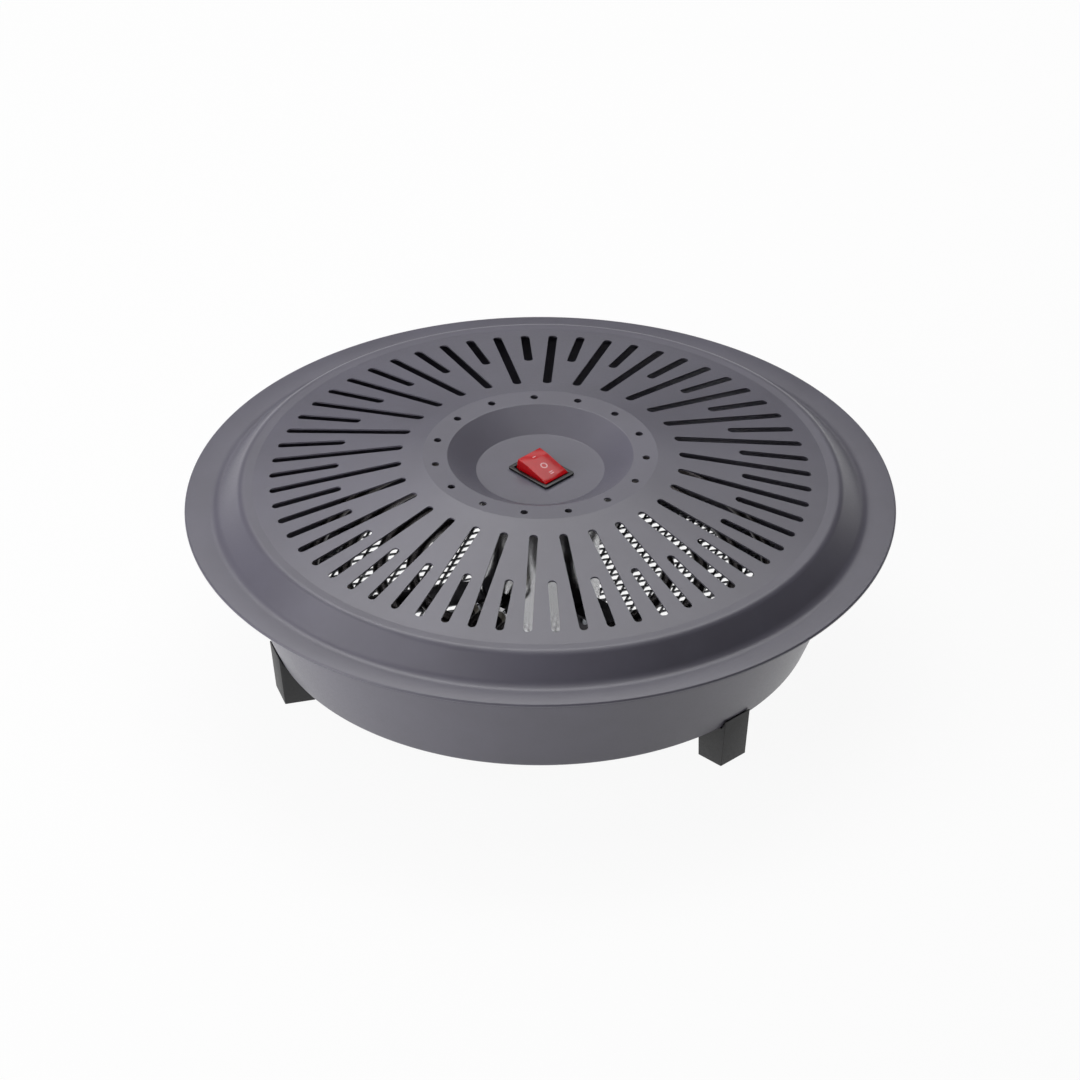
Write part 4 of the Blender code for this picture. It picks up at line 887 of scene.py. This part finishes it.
@dataclass
class BasePan:
    """The flared pan, with its flange under the cover's and a lip round its open floor."""

    sheet: float = 0.0010
    corners: tuple[Corner, ...] = (
        (0.2080, 0.1000, 0.0),
        (0.1902, 0.1000, 0.0030),
        (0.1597, PAN_FLOOR_LEVEL, 0.0030),
        (0.1375, PAN_FLOOR_LEVEL, 0.0),
    )
    stud_hole: float = 0.0025
    seam: float = 3.3

    def build(self, drilled: Recipe) -> None:
        """Turns the pan and drills it for the studs and the foot screws."""
        outline = sheet(rounded(self.corners), self.sheet)
        made = lathe("pan_sheet", outline, RING_SEGMENTS, self.seam)
        for level, radius, ring in (
            (self.corners[0][1], self.stud_hole, STUD_RING),
            (PAN_FLOOR_LEVEL, SCREW_HOLE, SCREW_RING),
        ):
            drilled.run(made, Slot.COAT, level=level, radius=radius, length=PAST, **ring)
        hand_over(made, Slot.COAT, ["base_pan"])


@dataclass
class FloorMesh:
    """The open floor: an expanded steel sheet that lies on the pan's lip."""

    radius: float = 0.1570
    pitch: float = 0.00578
    width: float = 0.0015
    height: float = 0.0007
    wave: float = 0.00015
    normals: Point = (108.9, 161.7)

    def build(self, drawn: Recipe) -> None:
        """Draws the diamonds."""
        first, second = self.normals
        angles = radians(first_turn=first - 90.0, second_turn=second - 90.0, skew=second - first)
        made = line_of("floor_diamonds", [Vector(), Vector((self.pitch, 0.0, 0.0))])
        level = NET_TOP - self.height / 2.0 - self.wave
        drawn.run(made, Slot.NET, level=level, **angles, **vars(self))
        hand_over(made, Slot.NET, ["floor_mesh"])


def lead_frame(x: float, y: float, level: float) -> Vector:
    """A point given along and across the way the leads run, and its level."""
    return polar(x, LEAD_AZIMUTH, level) + polar(y, LEAD_AZIMUTH + 90.0)


@dataclass
class HeatingElement:
    """A double ring of sheathed rod: lead, ring, return bend, ring, lead."""

    label: str
    radii: Point
    return_angle: float
    mirror: float
    radius: float = 0.0040
    bend_radius: float = 0.0080
    lead_end: float = 0.0600
    ring_step: float = 2.0
    bend_step: float = 12.0
    sides: int = 20

    def arc(self, centre: Point, radius: float, start: float, end: float) -> list[Vector]:
        """Points along an arc from one angle in degrees to another, both ends included."""
        step = self.ring_step if radius > self.bend_radius * 2.0 else self.bend_step
        count = math.ceil(abs(end - start) / step)
        turns = [start + (end - start) * i / count for i in range(count + 1)]
        return [polar(radius, turned_to) + Vector((*centre, 0.0)) for turned_to in turns]

    def bend_into(self, radius: float, side_of_lead: float) -> tuple[Point, float]:
        """The bend from a lead into its ring: its centre, and the angle where it meets the ring."""
        side = side_of_lead - self.bend_radius
        forward = math.sqrt((radius - self.bend_radius) ** 2 - side**2)
        return (forward, side), math.degrees(math.atan2(side, forward))

    def path(self) -> list[Vector]:
        """The rod's line."""
        near, far = -LEAD_PITCH * 1.5, -LEAD_PITCH * 0.5
        first_bend, first_angle = self.bend_into(self.radii[0], near)
        last_bend, last_angle = self.bend_into(self.radii[1], far)
        end = self.return_angle - 360.0
        middle = polar(sum(self.radii) / 2.0, end)
        half = (self.radii[1] - self.radii[0]) / 2.0
        points = [Vector((self.lead_end, near, 0.0))]
        points += self.arc(first_bend, self.bend_radius, 90.0, first_angle)
        points += self.arc((0.0, 0.0), self.radii[0], first_angle, end)[1:]
        points += self.arc(tuple(middle.xy), half, end - 180.0, end)[1:]
        points += self.arc((0.0, 0.0), self.radii[1], end, last_angle)[1:]
        points += self.arc(last_bend, self.bend_radius, last_angle, 90.0)[1:]
        points.append(Vector((self.lead_end, far, 0.0)))
        return [lead_frame(point.x, point.y * self.mirror, ROD_LEVEL) for point in points]

    def build(self, section: Recipe) -> None:
        """Bends the rod."""
        made = line_of(f"heating_rod_{self.label}", self.path())
        section.run(made, Slot.ROD, **vars(self))
        hand_over(made, Slot.ROD, [f"element_{self.label}"])


@dataclass
class CentreCan:
    """The can in the middle, drawn from one sheet, with the window that the wires come out of."""

    segments: int = 120
    sheet: float = 0.0008
    corners: tuple[Corner, ...] = (
        (0.0083, 0.0300, 0.0),
        (CAN_RADIUS, 0.0300, 0.0020),
        (CAN_RADIUS, 0.1300, 0.0),
    )
    window_azimuth: float = 235.0
    window_size: Corner = (0.0160, 0.0110, 0.0015)

    def build(self) -> None:
        """Turns the can and cuts its window."""
        made = lathe("can_shell", sheet(rounded(self.corners), -self.sheet), self.segments)
        outline = rectangle(*self.window_size)
        near = [Vector((CAN_RADIUS - PAST / 2.0, x, WINDOW_LEVEL + z)) for x, z in outline]
        window = prism("window", near, [corner + Vector((PAST, 0.0, 0.0)) for corner in near])
        carve(made, moved(window, around(self.window_azimuth)))
        hand_over(made, Slot.CAN, ["centre_can"])


@dataclass
class SupportArms:
    """Three folded strips that bridge from the can to the feet."""

    width: float = 0.0210
    sheet: float = 0.0015
    corners: tuple[Corner, ...] = (
        (0.0353, 0.0328, 0.0),
        (0.0353, 0.0533, 0.0025),
        (0.1445, 0.0533, 0.0025),
        (0.1445, 0.0315, 0.0010),
        (0.1560, 0.0315, 0.0),
    )
    edge: float = 0.0002

    def build(self) -> None:
        """Folds one strip and sets three copies of it."""
        strip = across("arm_strip", sheet(rounded(self.corners), self.sheet), self.width)
        level = self.corners[-1][1]
        bore(strip, SCREW_HOLE, level - PAST, level + PAST, SCREW_CIRCLE)
        soften(strip, self.edge)
        hand_over_round(strip, Slot.ARM, "support_arm")


@dataclass
class Feet:
    """Three moulded feet that hook round the pan's lower bend, each with a deep screw hole."""

    width: float = 0.0206
    outline: tuple[Point, ...] = (
        (0.1405, 0.0),
        (0.1591, 0.0),
        (0.1630, 0.0327),
        (0.16217, 0.0327),
        (0.15966, PAN_FLOOR_LEVEL - GAP),
        (0.1405, PAN_FLOOR_LEVEL - GAP),
    )
    edge: float = 0.0005
    bore_radius: float = 0.0050
    bore_floor: float = 0.0189
    bore_sides: int = 36

    def build(self) -> None:
        """Moulds one foot and sets three copies of it."""
        block = across("foot_block", self.outline, self.width)
        soften(block, self.edge, EDGE_PIECES)
        bore(block, SCREW_HOLE, -PAST, PAN_FLOOR_LEVEL + PAST, SCREW_CIRCLE)
        bore(block, self.bore_radius, -PAST, self.bore_floor, SCREW_CIRCLE, self.bore_sides)
        hand_over_round(block, Slot.FOOT, "foot")


def switch_matrix() -> Matrix:
    """Places what is drawn round the switch's centre, with zero on the panel."""
    return Matrix.Translation((*SWITCH_PLACE, PANEL_LEVEL)) @ around(SWITCH_AZIMUTH)


@dataclass
class RockerSwitch:
    """The rocker switch: bezel and body, and the three faced rocker with its marks.

    A size of three numbers is a length, a width and the radius of the corners. The rocker's top is
    measured from its raised end, its underside from its pivot, and both upwards from the pivot.
    """

    bezel_size: Corner = (0.0322, 0.0238, 0.0015)
    bezel_height: float = 0.0015
    well_size: Corner = (0.0274, 0.0190, 0.0006)
    well_depth: float = 0.0125
    box_size: Corner = (0.0288, 0.0210, 0.0008)
    box_depth: float = 0.0140
    body_edge: float = 0.00025
    tab_slot: Point = (0.0014, 0.0054)
    pivot_drop: float = 0.0020
    pivot_bore: Point = (0.0017, 0.0200)
    pins: Point = (0.0015, 0.0100)
    tilt: float = 15.0
    rocker_width: float = 0.0182
    top: tuple[Point, ...] = ((0.0, 0.0055), (0.0065, 0.0064), (0.0218, 0.0061), (0.0248, 0.0057))
    underside: tuple[Point, ...] = (
        (-0.0118, -0.0010),
        (-0.0035, -0.0010),
        (-0.0035, -0.0045),
        (0.0035, -0.0045),
        (0.0035, -0.0010),
        (0.0118, -0.0010),
    )
    sharp_below: float = 0.0010
    plunger_bore: Point = (0.0014, -0.0015)
    rocker_edge: float = 0.0004
    bar_size: Corner = (0.0006, 0.0026, 0.0002)
    ring: Point = (0.0015, 0.0022)
    ring_sides: int = 48
    mark_height: float = 0.00006

    def rocker_matrix(self) -> Matrix:
        """Places what is drawn round the rocker's pivot."""
        return switch_matrix() @ along(0.0, self.bezel_height - self.pivot_drop) @ around(self.tilt, "Y")

    def build_body(self) -> None:
        """The bezel, with the body under it and the well that the rocker lies in."""
        floor = self.bezel_height - self.well_depth
        made = upright("switch_bezel", rectangle(*self.bezel_size), GAP, self.bezel_height)
        box = upright("box", rectangle(*self.box_size), -self.box_depth, self.bezel_height / 2.0)
        carve(made, box, "UNION")
        carve(made, upright("well", rectangle(*self.well_size), floor, PAST))
        soften(made, self.body_edge)
        pivot = cross_bar("pivot", *self.pivot_bore)
        carve(made, moved(pivot, along(0.0, self.bezel_height - self.pivot_drop)))
        for index in (-1.0, 0.0, 1.0):
            low, high = -self.box_depth - PAST, floor + PAST / 2.0
            slot = upright("tab_slot", rectangle(*self.tab_slot), low, high)
            carve(made, moved(slot, along(TAB_PITCH * index)))
        hand_over(moved(made, switch_matrix()), Slot.BLACK, ["switch_body"])

    def top_at(self, distance: float) -> Point:
        """Height over the pivot, and slope in degrees, of the top at a distance from its raised end."""
        faces = zip(self.top, self.top[1:])
        (start, low), (end, high) = next(face for face in faces if distance <= face[1][0])
        slope = (high - low) / (end - start)
        return low + slope * (distance - start), math.degrees(math.atan(slope))

    def build_rocker(self) -> None:
        """The rocker, with soft edges between its faces and its two pivot pins."""
        half = self.top[-1][0] / 2.0
        outline = [*((x - half, z) for x, z in self.top[::-1]), *self.underside]
        made = across("rocker_button", outline, self.rocker_width)
        shape = bmesh.new()
        shape.from_mesh(made.data)
        edges = [edge for edge in shape.edges if max(end.co.z for end in edge.verts) > self.sharp_below]
        shapes = {"segments": EDGE_PIECES, "profile": 0.5, "affect": "EDGES"}
        bmesh.ops.bevel(shape, geom=edges, offset=self.rocker_edge, **shapes)
        bmesh.ops.recalc_face_normals(shape, faces=shape.faces)
        shape.to_mesh(made.data)
        shape.free()
        carve(made, cross_bar("pins", *self.pins), "UNION")
        radius, top = self.plunger_bore
        bore(made, radius, -2.0 * PAST, top)
        hand_over(moved(made, self.rocker_matrix()), Slot.RED, ["switch_rocker"], Body.ROCKER)

    def build_marks(self) -> None:
        """The marks for one, off and two, on the rocker's faces."""
        low, high = -self.mark_height * 2.0, self.mark_height
        inner, outer = self.ring
        section = [(inner, low), (outer, low), (outer, high), (inner, high)]
        for mark in Mark:
            distance, bars = mark.value
            height, slope = self.top_at(distance)
            bar = rectangle(*self.bar_size, EDGE_PIECES)
            parts = [moved(upright("bar", bar, low, high), along(x)) for x in bars]
            if not bars:
                parts = [lathe("ring", section, self.ring_sides)]
            shape = bmesh.new()
            for part in parts:
                shape.from_mesh(part.data)
                bpy.data.objects.remove(part)
            made = from_shape(f"rocker_mark_{mark.name.lower()}", shape)
            made.data.materials.append(MARK_INK.material())
            place = along(distance - self.top[-1][0] / 2.0, height) @ around(-slope, "Y")
            hand_over(moved(made, self.rocker_matrix() @ place), Slot.RED, [], Body.ROCKER)

    def build(self) -> None:
        """Builds the body, the rocker and its marks."""
        self.build_body()
        self.build_rocker()
        self.build_marks()


@dataclass
class CableGland:
    """The cable gland under the can: a ribbed cap, a flange and the stem inside the can."""

    corners: tuple[Corner, ...] = (
        (0.0038, 0.0361, 0.0),
        (0.0038, 0.0147, 0.0008),
        (0.0092, 0.0147, 0.0020),
        (0.0092, 0.0237, 0.0),
        (0.0120, 0.0237, 0.0006),
        (0.0120, 0.0267, 0.0004),
        (0.0080, 0.0267, 0.0),
        (0.0080, 0.0361, 0.0),
    )
    sides: int = 72
    bend_pieces: int = 4
    ribs: int = 20
    circle: float = 0.0092
    level: float = 0.0200
    size: Corner = (0.0010, 0.0010, 0.0060)

    def build(self, ribbed: Recipe) -> None:
        """Turns the gland and adds the ribs of its cap."""
        made = lathe("gland_body", rounded(self.corners, self.bend_pieces), self.sides)
        ribbed.run(made, Slot.BLACK, **vars(self))
        hand_over(made, Slot.BLACK, ["cable_gland"])


@dataclass
class Wiring:
    """The six sleeved wires inside the can and out to the rods' pins."""

    radius: float = 0.0014
    pitch: float = 0.0040
    pin_end: float = 0.0498
    tab_end: float = 0.1090
    block_top: float = 0.0454
    block_offset: float = 0.0210
    pole_pitch: float = 0.0080
    cutout_top: float = 0.0494
    cutout_offset: float = 0.0200
    cutout_spread: float = 0.0045
    cutout_pole: float = 1.4
    window_turn: float = -5.0
    neutral_reach: float = 0.8
    steps: int = 8
    sides: int = 14

    def tab(self, index: float) -> Point:
        """Where a switch tab stands, along and across the way the leads run."""
        place = Vector((*SWITCH_PLACE, 0.0)) + polar(TAB_PITCH * index, SWITCH_AZIMUTH)
        return place.dot(polar(1.0, LEAD_AZIMUTH)), place.dot(polar(1.0, LEAD_AZIMUTH + 90.0))

    def start(self, side: float, lane: float) -> list[Corner]:
        """How a wire runs from a rod's pin to its lane through the window."""
        across_lead = LEAD_PITCH * side
        return [
            (self.pin_end, across_lead, ROD_LEVEL),
            (self.pin_end - self.pitch, across_lead, ROD_LEVEL),
            (CAN_RADIUS, lane, WINDOW_LEVEL),
        ]

    def routes(self) -> dict[str, list[Corner]]:
        """The places that each wire goes through, in the leads' frame."""
        level = WINDOW_LEVEL
        rise = self.tab_end - level
        inside = CAN_RADIUS / 2.0
        shift = CAN_RADIUS * math.sin(math.radians(self.window_turn))
        found = {}
        for element, side in (("inner", -1.0), ("outer", 1.0)):
            tab_x, tab_y = self.tab(side)
            lane = self.pitch * 1.5 * side + shift
            found[f"{element}_live"] = [
                *self.start(1.5 * side, lane),
                (inside, lane, level),
                (inside / 2.0, (lane + tab_y) / 2.0, level + rise / 4.0),
                (tab_x, tab_y, self.tab_end - rise / 4.0),
                (tab_x, tab_y, self.tab_end),
            ]
            lane = self.pitch * 0.5 * side + shift
            pole = self.pole_pitch / 2.0 * side + shift
            found[f"{element}_neutral"] = [
                *self.start(0.5 * side, lane),
                (CAN_RADIUS * self.neutral_reach, lane, level),
                (self.block_offset, pole, (level + self.block_top) / 2.0),
                (self.block_offset, pole, self.block_top),
            ]
        pole = self.pole_pitch * self.cutout_pole
        found["block_to_cutout"] = [
            (self.block_offset, pole, self.block_top),
            (self.block_offset, pole, self.block_top + self.pitch),
            (inside / 2.0, inside, level),
            (-inside / 2.0, inside, level),
            (-self.cutout_offset, self.cutout_spread, self.cutout_top + self.pitch),
            (-self.cutout_offset, self.cutout_spread, self.cutout_top),
        ]
        tab_x, tab_y = self.tab(0.0)
        found["cutout_to_switch"] = [
            (-self.cutout_offset, -self.cutout_spread, self.cutout_top),
            (-self.cutout_offset, -self.cutout_spread, self.cutout_top + self.pitch * 2.0),
            (-inside / 2.0, 0.0, level + rise / 2.0),
            (tab_x, tab_y, self.tab_end - rise / 6.0),
            (tab_x, tab_y, self.tab_end),
        ]
        return found

    def smooth(self, places: Sequence[Vector]) -> list[Vector]:
        """A smooth line through the places, with its first and last stretches straight."""
        line = [places[0]]
        for a, b, c, d in zip(places, places[1:], places[2:], places[3:]):
            for i in range(self.steps):
                t = i / self.steps
                way = (c - a) * t + (a * 2.0 - b * 5.0 + c * 4.0 - d) * t**2
                line.append(b + (way + (b * 3.0 - a - c * 3.0 + d) * t**3) / 2.0)
        return [*line, places[-2], places[-1]]

    def build(self, section: Recipe) -> None:
        """Lays the wires."""
        for label, route in self.routes().items():
            made = line_of(f"sleeved_{label}", self.smooth([lead_frame(*place) for place in route]))
            section.run(made, Slot.SLEEVE, **vars(self))
            hand_over(made, Slot.SLEEVE, [f"wire_{label}"])


def dress_solids() -> None:
    """Dresses every solid of the frame in its slot's finish, whether it shows or is stood for."""
    slots = {row["node"]: Slot(row["material_slot"]) for row in frame["record"]["subparts"]}
    for name, solid in frame["nodes"].items():
        made = FINISHES[slots[name]].material()
        if not solid.material_slots:
            solid.data.materials.append(made)
        for place in solid.material_slots:
            place.material = made
        LOG.info("%s: dressed as %s", name, made.name)


# Studio


class Lamp(Enum):
    """The soft boxes: azimuth and elevation in degrees, sides in metres, power in watts."""

    BACK_BOX = (90.0, 60.0, (1.6, 0.8), 12.0)
    LOW_BACK_BOX = (90.0, 35.0, (1.6, 0.34), 2.7)
    BACK_LEFT_BOX = (125.0, 55.0, (1.0, 0.8), 1.9)
    LEFT_BOX = (185.0, 40.0, (1.0, 0.9), 4.8)
    LOW_LEFT_BOX = (204.0, 9.0, (1.0, 0.5), 12.5)
    FRONT_LEFT_BOX = (230.0, 30.0, (1.0, 0.9), 4.5)
    TOP_BOX = (90.0, 84.0, (1.2, 1.2), 5.0)


@dataclass
class Studio:
    """The floor, the lamps, the sky and the camera."""

    floor_size: float = 6.0
    floor_white: str = "#f4f4f4"
    floor_glow: float = 0.93
    floor_roughness: float = 0.9
    sky: float = 0.05
    mirrored_sky: float = 0.08
    horizon: Point = (1.0, 7.0)
    distance: float = 22.0
    lamp_distance: float = 1.7
    elevation: float = 33.184
    sensor: float = 36.0
    lens_per_metre: float = 56.457
    aim: Corner = (-0.0002, 0.0, 0.0817)

    def build_floor(self) -> None:
        """A plain floor, white to the camera, in mirrors and through glass, that keeps the shadow."""
        half = self.floor_size / 2.0
        data = bpy.data.meshes.new("studio_floor")
        corners = [(-half, -half, 0.0), (half, -half, 0.0), (half, half, 0.0), (-half, half, 0.0)]
        data.from_pydata(corners, [], [(0, 1, 2, 3)])
        made = bpy.data.materials.new("white_paper_floor")
        made.use_nodes = True
        tree = made.node_tree
        shader = tree.nodes["Principled BSDF"]
        paper = {"Base Color": linear(self.floor_white), "Roughness": self.floor_roughness}
        set_inputs(shader, {**paper, "Specular IOR Level": 0.0})
        glow = outcome(tree, "Emission", {"Color": WHITE, "Strength": 1.0})
        rays = add_node(tree, "LightPath").outputs
        seen = largest(tree, rays["Is Camera Ray"], rays["Is Glossy Ray"], rays["Is Transmission Ray"])
        share = add_math(tree, "MULTIPLY", seen, self.floor_glow)
        mixed = outcome(tree, "MixShader", {0: share, 1: shader.outputs[0], 2: glow})
        set_inputs(tree.nodes["Material Output"], {"Surface": mixed})
        data.materials.append(made)
        add_object("studio_floor", data)

    def build_sky(self) -> None:
        """A white sky to look at. A mirror sees it white near the horizon and dim overhead."""
        world = bpy.data.worlds.new("studio_sky")
        world.use_nodes = True
        tree = world.node_tree
        rays = add_node(tree, "LightPath").outputs
        way = outcome(tree, "TexCoord", port="Generated")
        rise = outcome(tree, "SeparateXYZ", {0: way}, 2)
        low, high = (math.sin(math.radians(angle)) for angle in self.horizon)
        fall = {"From Min": low, "From Max": high, "To Min": 1.0, "To Max": self.mirrored_sky}
        mirrored = outcome(tree, "MapRange", {"Value": rise, **fall})
        in_mirror = add_math(tree, "MULTIPLY", mirrored, rays["Is Glossy Ray"])
        strength = largest(tree, rays["Is Camera Ray"], rays["Is Transmission Ray"], in_mirror, self.sky)
        set_inputs(tree.nodes["Background"], {"Color": WHITE, "Strength": strength})
        bpy.context.scene.world = world

    def build_lamp(self, lamp: Lamp) -> None:
        """A soft box that faces the object."""
        azimuth, elevation, size, power = lamp.value
        data = bpy.data.lights.new(lamp.name.lower(), "AREA")
        data.shape = "RECTANGLE"
        data.size, data.size_y = size
        data.energy = power
        made = add_object(data.name, data)
        up = math.radians(elevation)
        level = self.aim[2] + self.lamp_distance * math.sin(up)
        made.location = polar(self.lamp_distance * math.cos(up), azimuth, level)
        made.rotation_euler = (made.location - Vector(self.aim)).to_track_quat("Z", "Y").to_euler()

    def build_camera(self) -> None:
        """The photograph's long lens, a third of the way up."""
        data = bpy.data.cameras.new("camera")
        data.sensor_width = self.sensor
        data.lens = self.lens_per_metre * self.distance
        data.clip_end = self.distance * 2.0
        made = add_object("camera", data)
        up = math.radians(self.elevation)
        made.location = Vector(self.aim) + Vector((0.0, -math.cos(up), math.sin(up))) * self.distance
        made.rotation_euler = (math.pi / 2.0 - up, 0.0, 0.0)
        bpy.context.scene.camera = made

    def build(self) -> None:
        """Sets up the whole studio."""
        self.build_floor()
        self.build_sky()
        for lamp in Lamp:
            self.build_lamp(lamp)
        self.build_camera()
        bpy.context.scene.view_settings.view_transform = "Standard"


def main() -> None:
    """Builds every sub-assembly in order, then the studio."""
    logging.basicConfig(level=logging.INFO, format="%(name)s: %(message)s")
    dress_solids()
    section = round_section()
    GrilleCover().build(punched_sheet(ring_of_cutters()), pegged_sheet("Studded sheet", True))
    BasePan().build(pegged_sheet("Drilled sheet", False))
    FloorMesh().build(drawn_mesh(strands_one_way()))
    HeatingElement("inner", (0.0755, 0.0950), 27.0, 1.0).build(section)
    HeatingElement("outer", (0.1155, 0.1350), 9.0, -1.0).build(section)
    CentreCan().build()
    SupportArms().build()
    Feet().build()
    RockerSwitch().build()
    CableGland().build(ribbed_cap())
    Wiring().build(section)
    Studio().build()


if __name__ == "__main__":
    main()
